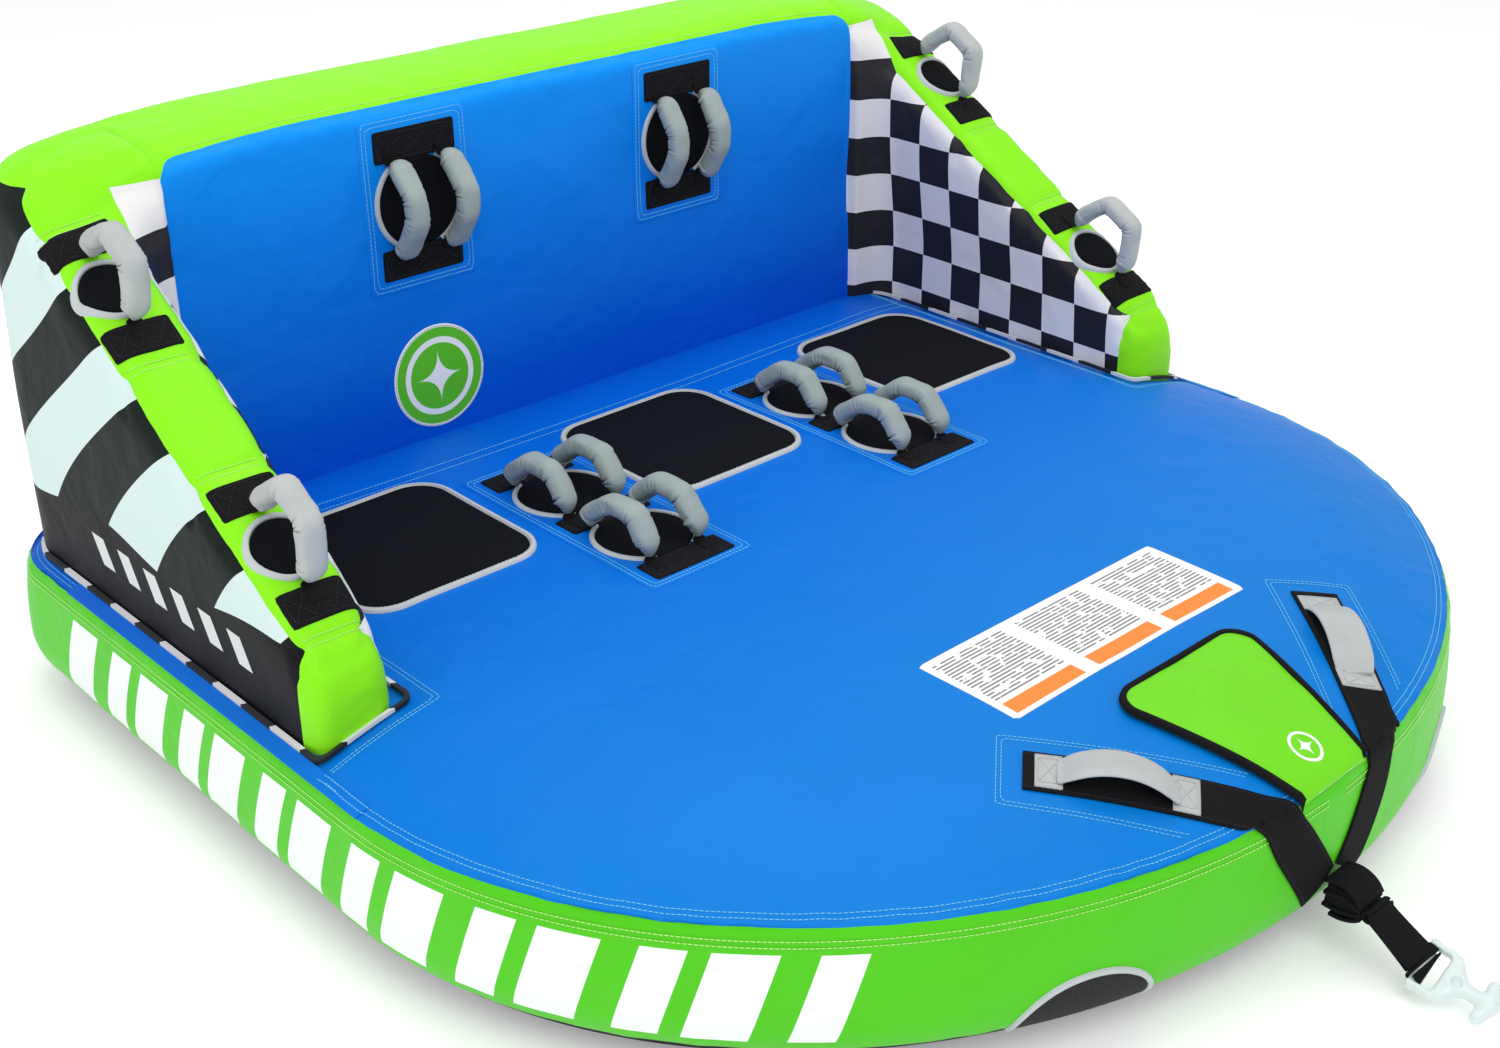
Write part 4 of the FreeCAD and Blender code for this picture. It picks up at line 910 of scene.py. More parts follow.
def build_bladders():
    """Vinyl chambers inside the covers."""
    rings = []
    for z in np.linspace(0.012, SEAM_Z - 0.004, 26):
        ring = outline(float(band_offset(z)) - 0.010)
        rings.append(np.column_stack([ring, np.full(len(ring), z)]))
    for share in np.linspace(0.06, 1, 16):
        ring = outline(-CROWN * share - 0.008)
        z = DECK_Z - (DECK_Z - SEAM_Z) * (1 - share) ** CROWN_POWER - 0.010
        rings.append(np.column_stack([ring, np.full(len(ring), z)]))
    verts, faces = closed_rings(rings)
    last = len(verts) - len(rings[-1])
    faces.append(list(range(last, len(verts))))
    faces.append(list(range(len(rings[0]))))
    piece("deck_bladder_film", verts, faces, M["film"], "film", replaces=["deck_bladder"])

    verts, quads = field_mesh(0.014)
    centres = verts[quads].mean(1)
    high = centres[:, 2] > 0.285
    groups = {
        "back_bladder": high & (centres[:, 1] > 0.647),
        "arm_bladder_right": high & (centres[:, 1] <= 0.647) & (centres[:, 0] > 0),
        "arm_bladder_left": high & (centres[:, 1] <= 0.647) & (centres[:, 0] < 0),
    }
    for name, chosen in groups.items():
        faces = quads[chosen]
        used, order = np.unique(faces, return_inverse=True)
        piece(name + "_film", verts[used], order.reshape(-1, 4).tolist(), M["film"], "film",
              replaces=[name])


build_bladders()


# ------------------------------------------------------------------ laying things on the covers


class Spot:
    """A place on a cover: flat u, v coordinates that are cast onto the cover's surface."""

    def __init__(self, origin, u, v, n, tree):
        self.origin = np.array(origin, float)
        self.u = np.array(u, float)
        self.v = np.array(v, float)
        self.n = np.array(n, float)
        self.tree = tree

    def at(self, u, v, h=0.0):
        flat = self.origin + self.u * u + self.v * v
        start = Vector(flat + self.n * 0.12)
        hit, _, _, _ = self.tree.ray_cast(start, Vector(-self.n), 0.30)
        base = np.array(hit) if hit is not None else flat
        return base + self.n * h

    def many(self, points, h):
        heights = np.broadcast_to(h, (len(points),))
        return np.array([self.at(p[0], p[1], k) for p, k in zip(points, heights)])

    def free(self, u, v, h):
        """A point over the flat plane of the spot, not cast onto the cover."""
        return self.origin + self.u * u + self.v * v + self.n * h


def deck_spot(x, y):
    return Spot((x, y, DECK_Z), X_AXIS, Y_AXIS, Z_AXIS, hull_tree)


def back_spot(x, z):
    return Spot((x, BACK_FRONT, z), X_AXIS, Z_AXIS, -Y_AXIS, upper_tree)


def arm_spot(sign, y):
    z = ARM_START_Z + (y - ARM_FRONT) * math.tan(SLOPE)
    return Spot((sign * ARM_MIDDLE, y, z), X_AXIS, SLOPE_ALONG, SLOPE_OFF, upper_tree)


def rounded_rectangle(width, depth, radius, step=0.006):
    """Outline points of a rounded rectangle, evenly spaced."""
    points = []
    corners = [(1, -1, -90), (1, 1, 0), (-1, 1, 90), (-1, -1, 180)]
    for i, j, start in corners:
        cx = i * (width / 2 - radius)
        cy = j * (depth / 2 - radius)
        for turn in np.radians(np.linspace(start, start + 90, 10)):
            points.append((cx + radius * math.cos(turn), cy + radius * math.sin(turn)))
    return resample(np.array(points), step, True)


def resample(points, step, closed=False):
    """Evenly spaced points along a line."""
    if closed:
        points = np.concatenate([points, points[:1]])
    gaps = np.linalg.norm(np.diff(points, axis=0), axis=1)
    run = np.concatenate([[0], np.cumsum(gaps)])
    count = max(int(round(run[-1] / step)), 3)
    marks = np.linspace(0, run[-1], count + 1)
    if closed:
        marks = marks[:-1]
    return np.stack([np.interp(marks, run, points[:, i]) for i in range(points.shape[1])], 1)


def circle(radius, count=72):
    turn = np.linspace(0, 2 * math.pi, count + 1)[:-1]
    return np.stack([radius * np.cos(turn), radius * np.sin(turn)], 1)


def add_plate(builder, spot, line, low, high, edge=0.003, shift=(0, 0)):
    """A flat pad with a rounded edge, laid on the cover inside an outline."""
    line = np.asarray(line, float)
    centre = line.mean(0)
    reach = np.linalg.norm(line - centre, axis=1).mean()
    levels = [(1.0, low - 0.0015)]
    for turn in (0, 30, 60, 90):
        t = math.radians(turn)
        levels.append((1 - edge * (1 - math.cos(t)) / reach, low + (high - low) * math.sin(t)))
    for share in (0.96, 0.9, 0.8, 0.65, 0.45, 0.25, 0.02):
        levels.append((share * (1 - edge / reach), high))
    rows = []
    uv = []
    for share, height in levels:
        flat = centre + (line - centre) * share
        rows.append(spot.many(flat + np.array(shift), height))
        uv.extend(flat)
    verts = np.concatenate(rows)
    faces = grid_faces(len(rows), len(line), True)
    faces.append(list(range(len(verts) - len(line), len(verts))))
    builder.add(verts, faces, uv)


def add_tape(builder, spot, line, width, low, high, closed=True):
    """Binding tape: a low rounded ridge that follows an outline."""
    line = np.asarray(line, float)
    if closed:
        step = np.roll(line, -1, 0) - np.roll(line, 1, 0)
    else:
        step = np.gradient(line, axis=0)
    side = unit(np.stack([step[:, 1], -step[:, 0]], 1))
    rows = []
    for share in np.linspace(-1, 1, 7):
        height = low + (high - low) * math.sqrt(max(1 - share ** 4, 0))
        flat = line + side * (width / 2 * share)
        rows.append(spot.many(flat, height if abs(share) < 1 else low - 0.001))
    verts = np.stack(rows, 1).reshape(-1, 3)
    count = len(line)
    faces = []
    for i in range(count if closed else count - 1):
        k = (i + 1) % count
        for j in range(6):
            faces.append((i * 7 + j, i * 7 + j + 1, k * 7 + j + 1, k * 7 + j))
    builder.add(verts, faces)


DASH = 0.0048
DASH_GAP = 0.0017
THREAD_HALF = 0.0006
THREAD_HEIGHT = 0.0005


def add_stitches(builder, points, normals):
    """Raised dashes of thread along a line; normals is one direction or one for each point."""
    points = np.asarray(points, float)
    normals = np.broadcast_to(np.asarray(normals, float), points.shape)
    gaps = np.linalg.norm(np.diff(points, axis=0), axis=1)
    run = np.concatenate([[0], np.cumsum(gaps)])
    starts = np.arange(0, run[-1] - DASH, DASH + DASH_GAP)
    if len(starts) == 0:
        return

    def sample(marks, values):
        return np.stack([np.interp(marks, run, values[:, i]) for i in range(3)], 1)

    a = sample(starts, points)
    b = sample(starts + DASH, points)
    n = unit(sample(starts + DASH / 2, normals))
    along = unit(b - a)
    side = np.cross(along, n) * THREAD_HALF
    for i in range(len(starts)):
        top = n[i] * THREAD_HEIGHT
        middle = (a[i] + b[i]) / 2 + n[i] * THREAD_HEIGHT * 1.3
        verts = [a[i] - side[i], a[i] + side[i], a[i] + side[i] * 0.6 + top,
                 a[i] - side[i] * 0.6 + top, b[i] - side[i], b[i] + side[i],
                 b[i] + side[i] * 0.6 + top, b[i] - side[i] * 0.6 + top,
                 middle + side[i] * 0.6, middle - side[i] * 0.6]
        faces = [(0, 1, 2, 3), (7, 6, 5, 4), (3, 2, 8, 9), (9, 8, 6, 7), (1, 5, 6, 8, 2),
                 (4, 0, 3, 9, 7)]
        builder.add(verts, faces)


def stitch_on(builder, spot, line, lift, shift=(0, 0)):
    """Stitches along a flat line that is cast onto a spot's cover."""
    line = resample(np.asarray(line, float), 0.012)
    add_stitches(builder, spot.many(line + np.array(shift), lift), spot.n)


def stitch_deck(line, lift=0.0003):
    """Blue stitches along a plan line on the deck."""
    points = np.column_stack([line, deck_height(line) + lift])
    add_stitches(blue_thread, points, Z_AXIS)


def ring_line(line):
    return np.concatenate([line, line[:1]])


blue_thread = Builder()
green_thread = Builder()
grey_thread = Builder()
black_thread = Builder()

# ------------------------------------------------------------------ pads


def build_pads():
    bindings = Builder()
    for side, x in (("left", -PAD_PITCH), ("middle", 0.0), ("right", PAD_PITCH)):
        spot = deck_spot(x, PAD_Y)
        pad = Builder()
        add_plate(pad, spot, rounded_rectangle(0.292, 0.302, 0.052), 0.0, 0.0046, 0.003)
        made = pad.done(f"seat_pad_{side}_foam", M["neoprene"], "neoprene",
                        replaces=["seat_pad_" + side])
        add_tape(bindings, spot, rounded_rectangle(0.302, 0.312, 0.057), 0.011, 0.0, 0.0052)
        stitch_on(grey_thread, spot, ring_line(rounded_rectangle(0.297, 0.307, 0.054)),
                  lift=0.0052)
    bindings.done("seat_pad_bindings_tape", M["binding"], "binding",
                  replaces=["seat_pad_bindings"])


build_pads()

# ------------------------------------------------------------------ grip groups


def deck_group(sign, step=0.0):
    """The spot of a group of deck grips; half a step either way is one of its two pairs."""
    return deck_spot(sign * GROUP_X, GROUP_Y + step * PATCH_PITCH)


def back_group(sign):
    return back_spot(sign * BACK_GROUP_X, BACK_GROUP_Z)


def build_groups():
    """Reinforcement panels, anchor patches and knuckle guards."""
    panels = Builder()
    patches = Builder()
    guards = Builder()
    rings = Builder()

    def panel(spot, width, depth):
        add_plate(panels, spot, rounded_rectangle(width, depth, 0.004), 0.0, 0.0012, 0.001)
        for inset in (0.006, 0.013):
            stitch_on(blue_thread, spot, ring_line(
                rounded_rectangle(width - 2 * inset, depth - 2 * inset, 0.004)), lift=0.0013)

    def patch(spot, width, depth, centre, low):
        shape = rounded_rectangle(width, depth, 0.003, 0.005)
        add_plate(patches, spot, shape, low, low + 0.0024, 0.0012, (0, centre))
        lift = low + 0.0026
        frame_line = ring_line(rounded_rectangle(width - 0.010, depth - 0.010, 0.002))
        stitch_on(black_thread, spot, frame_line, lift=lift, shift=(0, centre))
        w, d = width / 2 - 0.008, depth / 2 - 0.008
        for i in (-1, 0, 1):
            half = w / 3
            for line in ([(i * 2 * half - half, -d), (i * 2 * half + half, d)],
                         [(i * 2 * half - half, d), (i * 2 * half + half, -d)]):
                stitch_on(black_thread, spot, np.array(line), lift=lift, shift=(0, centre))

    def guard(spot, radius, limit, low):
        """A round pad with its binding, cut off at limit, where the patches lie over it."""
        disc = circle(radius - 0.009)
        disc[:, 1] = np.clip(disc[:, 1], -limit, limit)
        add_plate(guards, spot, resample(disc, 0.006, True), low, 0.0046, 0.002)
        half_turn = math.asin(min(limit / (radius - 0.0045), 1))
        for start in (0.0, math.pi):
            turn = np.linspace(start - half_turn, start + half_turn, 40)
            arc = (radius - 0.0045) * np.stack([np.cos(turn), np.sin(turn)], 1)
            add_tape(rings, spot, arc, 0.009, low, 0.0054, closed=False)

    for sign in (-1, 1):
        spot = deck_group(sign)
        panel(spot, 0.200, 0.466)
        for step in (-1, 0, 1):
            patch(spot, 0.150, 0.050, step * PATCH_PITCH, 0.0012)
        for step in (-0.5, 0.5):
            guard(deck_group(sign, step), GUARD_RADIUS, 0.0695, 0.0012)
        spot = back_group(sign)
        panel(spot, 0.200, 0.282)
        for step in (-0.5, 0.5):
            patch(spot, 0.150, 0.050, step * PATCH_PITCH, 0.0012)
        guard(spot, GUARD_RADIUS, 0.0695, 0.0012)
        for _, y in ARM_GRIPS:
            spot = arm_spot(sign, y)
            for step in (-0.5, 0.5):
                patch(spot, 0.097, 0.052, step * ARM_PATCH_PITCH, 0.0)
            guard(spot, ARM_GUARD_RADIUS, 0.062, 0.0)
    panels.done("handle_base_panels_fabric", M["panel"], "deck_cover",
                replaces=["handle_base_panels"])
    patches.done("anchor_patches_webbing", M["webbing"], "webbing", replaces=["anchor_patches"])
    made = guards.done("knuckle_guards_foam", M["neoprene"], "neoprene",
                       replaces=["knuckle_guards"])
    rings.done("knuckle_guard_bindings_tape", M["binding"], "binding",
               replaces=["knuckle_guard_bindings"])


build_groups()

# ------------------------------------------------------------------ grips


def smooth_path(points, step=0.004):
    """A rounded line through control points, by repeated corner cutting."""
    points = np.asarray(points, float)
    for _ in range(4):
        a, b = points[:-1], points[1:]
        middle = np.stack([a * 0.75 + b * 0.25, a * 0.25 + b * 0.75], 1).reshape(-1, 3)
        points = np.concatenate([points[:1], middle, points[-1:]])
    return resample(points, step)


def power(value, exponent):
    return np.sign(value) * np.abs(value) ** exponent


def bent_line(knots, rows, blur):
    """Evenly spaced points along straight runs joined by soft bends, and each bend's place."""
    knots = np.array(knots, float)
    steps = np.diff(knots, axis=0)
    run = np.concatenate([[0], np.cumsum(np.linalg.norm(steps, axis=1))])
    heading = np.unwrap(np.arctan2(steps[:, 1], steps[:, 0]))
    bends = list(zip(run[1:-1], np.abs(np.diff(heading))))
    step = run[-1] / rows
    margin = int(blur * 3 / step) + 1
    longer = np.vstack([knots[0] - unit(steps[0]), knots, knots[-1] + unit(steps[-1])])
    places = np.arange(-margin, rows + margin + 1) * step
    run = np.concatenate([[-1], run, [run[-1] + 1]])
    line = np.stack([np.interp(places, run, longer[:, k]) for k in (0, 1)], 1)
    weights = np.exp(-(np.arange(-margin, margin + 1) * step / blur) ** 2 / 2)
    weights /= weights.sum()
    soft = np.stack([np.convolve(line[:, k], weights, "valid") for k in (0, 1)], 1)
    return soft, np.arange(rows + 1) * step, bends


def sleeve_grid(chord, rise, bend_at, seed, rows=150, columns=44):
    """Rings of a padded sleeve in its own frame: across, along the chord, off the cover."""
    half = chord / 2
    shift = 0.05 * math.sin(seed * 1.7)
    low, high = bend_at
    top = 1.10 * rise
    knots = [(-half, 0), (-half, 0.34 * top), ((low + shift) * half, top),
             ((high + shift) * half, top * (0.98 - 0.03 * math.sin(seed * 2.9))),
             (half, 0.34 * top), (half, 0)]
    centre, run, bends = bent_line(knots, rows, 0.0062)
    heading = unit(np.gradient(centre, axis=0))
    off = np.stack([-heading[:, 1], heading[:, 0]], 1)
    if off[rows // 2, 1] < 0:
        off = -off
    end = np.minimum(run, run[-1] - run)
    turn = np.linspace(0, 2 * math.pi, columns + 1)[:-1]
    inner = np.clip(0.80 - np.sin(turn), 0, 1.80) / 1.80
    rings = []
    for i in range(len(centre)):
        wide = min(0.0188, 0.0056 + 0.60 * end[i])
        thick = 0.0146 * (0.36 + 0.64 * min(1.0, end[i] / 0.017) ** 0.7)
        fold = np.ones(columns)
        for number, (place, angle) in enumerate(bends):
            sharp = min(angle / 0.9, 1.0)
            fold += 0.17 * sharp * inner * math.exp(-((run[i] - place) / 0.012) ** 2)
            for k in range(4):
                wander = 0.0014 * math.sin(seed * 3.1 + k * 2.4 + number * 1.9)
                slant = 0.0022 * math.sin(seed * 1.3 + k * 1.7 + number) * np.cos(turn)
                crease = place + (k - 1.5) * 0.0060 + wander + slant
                depth = 0.46 * sharp * (0.75 + 0.25 * math.sin(seed * 2.2 + k * 3.3))
                fold -= depth * inner * np.exp(-((run[i] - crease) / 0.0016) ** 2)
        cell = np.column_stack([np.cos(turn) * 0.02, np.sin(turn) * 0.02,
                                np.full(columns, run[i] * 0.6 + seed)])
        fold = fold + 0.09 * noise(cell, 0.021, seed) + 0.04 * noise(cell, 0.009, seed + 5)
        fold = fold * (1 - 0.06 * np.exp(-((end[i] - 0.004) / 0.0016) ** 2))
        across = wide * power(np.cos(turn), 0.80) * fold
        deep = thick * power(np.sin(turn), 0.80) * fold
        rings.append(np.column_stack([across, centre[i, 0] + off[i, 0] * deep,
                                      centre[i, 1] + off[i, 1] * deep]))
    return rings


def grip_sleeve(spot, across, chord, rise, bend_at, name, pale, seed):
    """A padded sleeve with creases at its bends."""
    rings = sleeve_grid(chord, rise, bend_at, seed)
    flat = np.concatenate(rings)
    base = spot.origin + spot.u * across + spot.n * GRIP_LIFT
    grid = base + flat[:, :1] * spot.u + flat[:, 1:2] * spot.v + flat[:, 2:] * spot.n
    sleeve = Builder()
    sleeve.add(grid, tube_faces(len(rings), len(rings[0])))
    look = "grip_pale" if pale else "grip"
    made = sleeve.done(name + "_sleeve", M[look], "grip_grey", body=name, replaces=[name])


def foot_ribbons(builder, spot, across, chord):
    """Webbing that leaves the patch and turns up into each end of a sleeve."""
    for end in (-1, 1):
        path = [(end * (chord / 2 + FOOT_REACH), 0.0030), (end * (chord / 2 + 0.012), 0.0034),
                (end * (chord / 2 + 0.002), 0.0036), (end * chord / 2, 0.0062),
                (end * chord / 2, 0.0104)]
        line = smooth_path([(0.0, u, h) for u, h in path], 0.0012)[:, 1:]
        heading = unit(np.gradient(line, axis=0))
        rows = []
        for (u, h), (du, dh) in zip(line, heading):
            half = 0.0115 - 0.0062 * min(max((h - 0.0040) / 0.0060, 0), 1)
            ring = []
            for i, j in ((-1, -1), (1, -1), (1, 1), (-1, 1)):
                ring.append(spot.free(across + half * i, u - dh * 0.0008 * j,
                                      h + du * end * 0.0008 * j))
            rows.append(ring)
        builder.add(np.array(rows).reshape(-1, 3), tube_faces(len(rows), 4))


def build_grips():
    ribbons = Builder()
    seed = 1
    for side, sign in (("left", -1), ("right", 1)):
        places = []
        for end, step in (("rear", 0.5), ("front", -0.5)):
            places.append((f"grip_deck_{side}_{end}", deck_group(sign, step), (-0.52, 0.26)))
        places.append((f"grip_back_{side}", back_group(sign), (-0.20, 0.36)))
        for name, spot, bend_at in places:
            rise = 0.044 if name == "grip_back_right" else 0.052
            for tag, across in (("_a", -PAIR_HALF), ("_b", PAIR_HALF)):
                grip_sleeve(spot, across, GRIP_CHORD, rise, bend_at, name + tag, False, seed)
                foot_ribbons(ribbons, spot, across, GRIP_CHORD)
                seed += 1
        for end, y in ARM_GRIPS:
            spot = arm_spot(sign, y)
            name = f"grip_arm_{side}_{end}"
            grip_sleeve(spot, 0.0, ARM_GRIP_CHORD, 0.076, (-0.56, 0.50), name, True, seed)
            foot_ribbons(ribbons, spot, 0.0, ARM_GRIP_CHORD)
            seed += 1
    ribbons.done("grip_webbing_feet", M["webbing"], "webbing", smooth=False)


build_grips()

# ------------------------------------------------------------------ label and badge


def build_prints():
    label = Builder()
    shape = rounded_rectangle(0.500, 0.168, 0.004, 0.010)
    add_plate(label, deck_spot(0.0, -0.500), shape, 0.0, 0.0010, 0.0008)
    label.done("information_label_print", M["label"], "label_print",
               replaces=["information_label"])
    badge = Builder()
    add_plate(badge, back_spot(-0.262, 0.391), circle(0.087), 0.0, 0.0012, 0.001)
    badge.done("badge_print", M["badge"], "label_print", replaces=["badge"])
    stitch_on(grey_thread, back_spot(-0.262, 0.391), ring_line(circle(0.0845)), lift=0.0014)


build_prints()

# ------------------------------------------------------------------ harness


STRAP_REAR = np.array([0.320, -0.652])
STRAP_SEAM = np.array([0.122, -0.888])
STRAP_HEADING = unit(STRAP_SEAM - STRAP_REAR)


def nearest(point):
    """The closest spot on the hull, and the surface's outward normal there."""
    hit, normal, _, _ = hull_tree.find_nearest(Vector(point))
    normal = np.array(normal)
    if normal @ (np.array(point) - np.array([0, 0, 0.15])) < 0:
        normal = -normal
    return np.array(hit), normal


def strap_path(sign):
    """Centre points of a harness strap and the direction across it."""
    across_deck = np.array([-STRAP_HEADING[1], STRAP_HEADING[0], 0])
    if across_deck[0] < 0:
        across_deck = -across_deck
    points = []
    for share in np.linspace(0, 1, 96):
        flat = STRAP_REAR + (STRAP_SEAM - STRAP_REAR) * share
        points.append((np.array([flat[0], flat[1], deck_height(flat[None])[0]]), across_deck))
    down = unit(np.array([0.016 - STRAP_SEAM[0], 0.096 - SEAM_Z]))
    across_band = np.array([-down[1], 0, down[0]])
    for share in np.linspace(0, 1, 52)[1:]:
        x = STRAP_SEAM[0] + (0.030 - STRAP_SEAM[0]) * share
        z = SEAM_Z + (0.100 - SEAM_Z) * share
        y = SHOULDER - NOSE_REACH * math.sqrt(1 - (x / HALF_WIDTH) ** 2) - float(band_offset(z))
        blend = min(share * 2.5, 1)
        across = unit(across_deck * (1 - blend) + across_band * blend)
        points.append((np.array([x, y, z]), across))
    mirror = np.array([sign, 1, 1])
    centres = np.array([p for p, _ in points]) * mirror
    sides = np.array([a for _, a in points]) * mirror
    for _ in range(30):
        centres[1:-1] = (centres[:-2] + centres[1:-1] * 2 + centres[2:]) / 4
        sides[1:-1] = (sides[:-2] + sides[1:-1] * 2 + sides[2:]) / 4
    return list(zip(centres, unit(sides)))


def settle(grid, lift, rounds=4):
    """Smooths a grid of strap points along its length and keeps them off the hull."""
    for _ in range(rounds):
        grid[1:-1] = (grid[:-2] + grid[1:-1] * 2 + grid[2:]) / 4
        for row in grid:
            for k, spot in enumerate(row):
                hit, normal = nearest(spot)
                depth = (spot - hit) @ normal
                if depth < lift:
                    row[k] = hit + normal * lift
    return grid


def build_straps():
    for side, sign in (("left", -1), ("right", 1)):
        columns = 15
        path = strap_path(sign)
        grid = np.array([[nearest(centre + across * 0.034 * share)[0]
                          for share in np.linspace(-1, 1, columns)] for centre, across in path])
        grid = settle(grid, 0.0036, 8)
        grid[..., 0] = sign * np.maximum(sign * grid[..., 0], 0.0012)
        along = np.gradient(grid, axis=0)
        across = np.gradient(grid, axis=1)
        normal = unit(np.cross(along, across))
        outward = grid - np.array([0, -0.2, 0.10])
        flip = np.sign((normal * outward).sum(-1, keepdims=True))
        normal = normal * flip
        verts = np.concatenate([grid.reshape(-1, 3), (grid - normal * 0.0024).reshape(-1, 3)])
        strap = Builder()
        strap.add(verts, slab_faces(len(grid), columns))
        strap.done(f"harness_strap_{side}_webbing", M["webbing"], "webbing",
                   replaces=["harness_strap_" + side])
        for j in (1, columns - 2):
            add_stitches(black_thread, grid[:, j], normal[:, j])
        stitch_panel(sign)


def stitch_panel(sign):
    """The double-stitched reinforcement round each strap's rear end on the deck."""
    side = np.array([-STRAP_HEADING[1], STRAP_HEADING[0]])
    for wide, back in ((0.056, 0.026), (0.062, 0.032)):
        start = STRAP_REAR - STRAP_HEADING * back
        stop = STRAP_SEAM - STRAP_HEADING * 0.030
        line = np.array([stop + side * wide, start + side * wide, start - side * wide,
                         stop - side * wide])
        line[:, 0] *= sign
        flat = resample(line, 0.010)
        flat = flat[inset_of(flat) < -0.026]
        start = int(np.argmax(np.linalg.norm(np.diff(flat, axis=0), axis=1) > 0.03)) + 1
        flat = flat if start == 1 else flat[:start]
        stitch_deck(flat, 0.0004)


TAB_ROWS = 10
TAB_COLUMNS = 9


def build_carry_handles():
    """Flat padded handles that arch over the straps."""
    for side, sign in (("left", -1), ("right", 1)):
        first = STRAP_REAR + STRAP_HEADING * 0.014
        last = first + STRAP_HEADING * 0.200
        a = np.array([*first, deck_height(first[None])[0]])
        b = np.array([*last, deck_height(last[None])[0]])
        length = np.linalg.norm(b - a)
        along = (b - a) / length
        across = unit(np.cross(Z_AXIS, along))
        off = unit(np.cross(along, across))
        if off[2] < 0:
            off = -off
        handle = Builder()
        mirror = np.array([sign, 1, 1])
        tabs = 0.030
        radius_span = (length - 2 * tabs) / 2
        rise = 0.026
        radius = (radius_span ** 2 + rise ** 2) / (2 * rise)
        path = []
        for u in np.linspace(tabs - 0.004, length - tabs + 0.004, 60):
            gap = abs(u - length / 2)
            height = max(math.sqrt(max(radius ** 2 - gap ** 2, 0)) - (radius - rise), 0)
            path.append((u, 0.0068 + height))
        columns = 28
        turn = np.linspace(0, 2 * math.pi, columns + 1)[:-1]
        verts = []
        for i, (u, h) in enumerate(path):
            end = min(i, len(path) - 1 - i) / 8
            swell = 0.80 + 0.20 * min(end, 1) ** 0.5
            crease = 0.0012 * math.sin(i * 1.25) * max(1 - end, 0.15)
            wide = 0.028 * swell * power(np.cos(turn), 0.6)
            thick = (0.0040 * swell + crease * 0.5) * power(np.sin(turn), 0.8)
            centre = a + along * u + off * h
            verts.append(centre + wide[:, None] * across + thick[:, None] * off)
        grid = np.concatenate(verts) * mirror
        handle.add(grid, tube_faces(len(path), columns))
        for u0, u1 in ((0.0, tabs + 0.004), (length - tabs - 0.004, length)):
            lower = []
            for u in np.linspace(u0, u1, TAB_ROWS):
                base = a + along * u
                for share in np.linspace(-1, 1, TAB_COLUMNS):
                    lower.append(nearest(base + across * 0.029 * share)[0] * mirror)
            lower = np.array(lower)
            lifted = lower + off * mirror * 0.0056
            handle.add(np.concatenate([lower, lifted]), slab_faces(TAB_ROWS, TAB_COLUMNS))
            tab = lifted.reshape(TAB_ROWS, TAB_COLUMNS, 3)
            line = [tab[1, 1], tab[1, -2], tab[-2, -2], tab[-2, 1], tab[1, 1], tab[-2, -2],
                    tab[-2, 1], tab[1, -2]]
            points = resample(np.array(line) + off * mirror * 0.0004, 0.004)
            add_stitches(grey_thread, points, off * mirror)
        handle.done(f"carry_handle_{side}_pad", M["grip_pale"], "grip_grey",
                    replaces=["carry_handle_" + side])


build_straps()
build_carry_handles()


def ribbon(builder, path, across, half, thick):
    """A flat band along 3-D points; across gives its width direction at each point."""
    path = np.asarray(path, float)
    heading = unit(np.gradient(path, axis=0))
    across = np.broadcast_to(across, path.shape)
    side = unit(across - (across * heading).sum(1, keepdims=True) * heading)
    side = side * np.broadcast_to(half, len(path))[:, None]
    normal = np.cross(unit(side), heading)
    rows = []
    profile = [(-1, -0.5), (-0.97, -1), (0, -1.06), (0.97, -1), (1, -0.5), (1, 0.5), (0.97, 1),
               (0, 1.06), (-0.97, 1), (-1, 0.5)]
    for centre, s, n in zip(path, side, normal):
        rows.append([centre + s * i + n * thick / 2 * j for i, j in profile])
    builder.add(np.array(rows).reshape(-1, 3), tube_faces(len(rows), len(profile)))


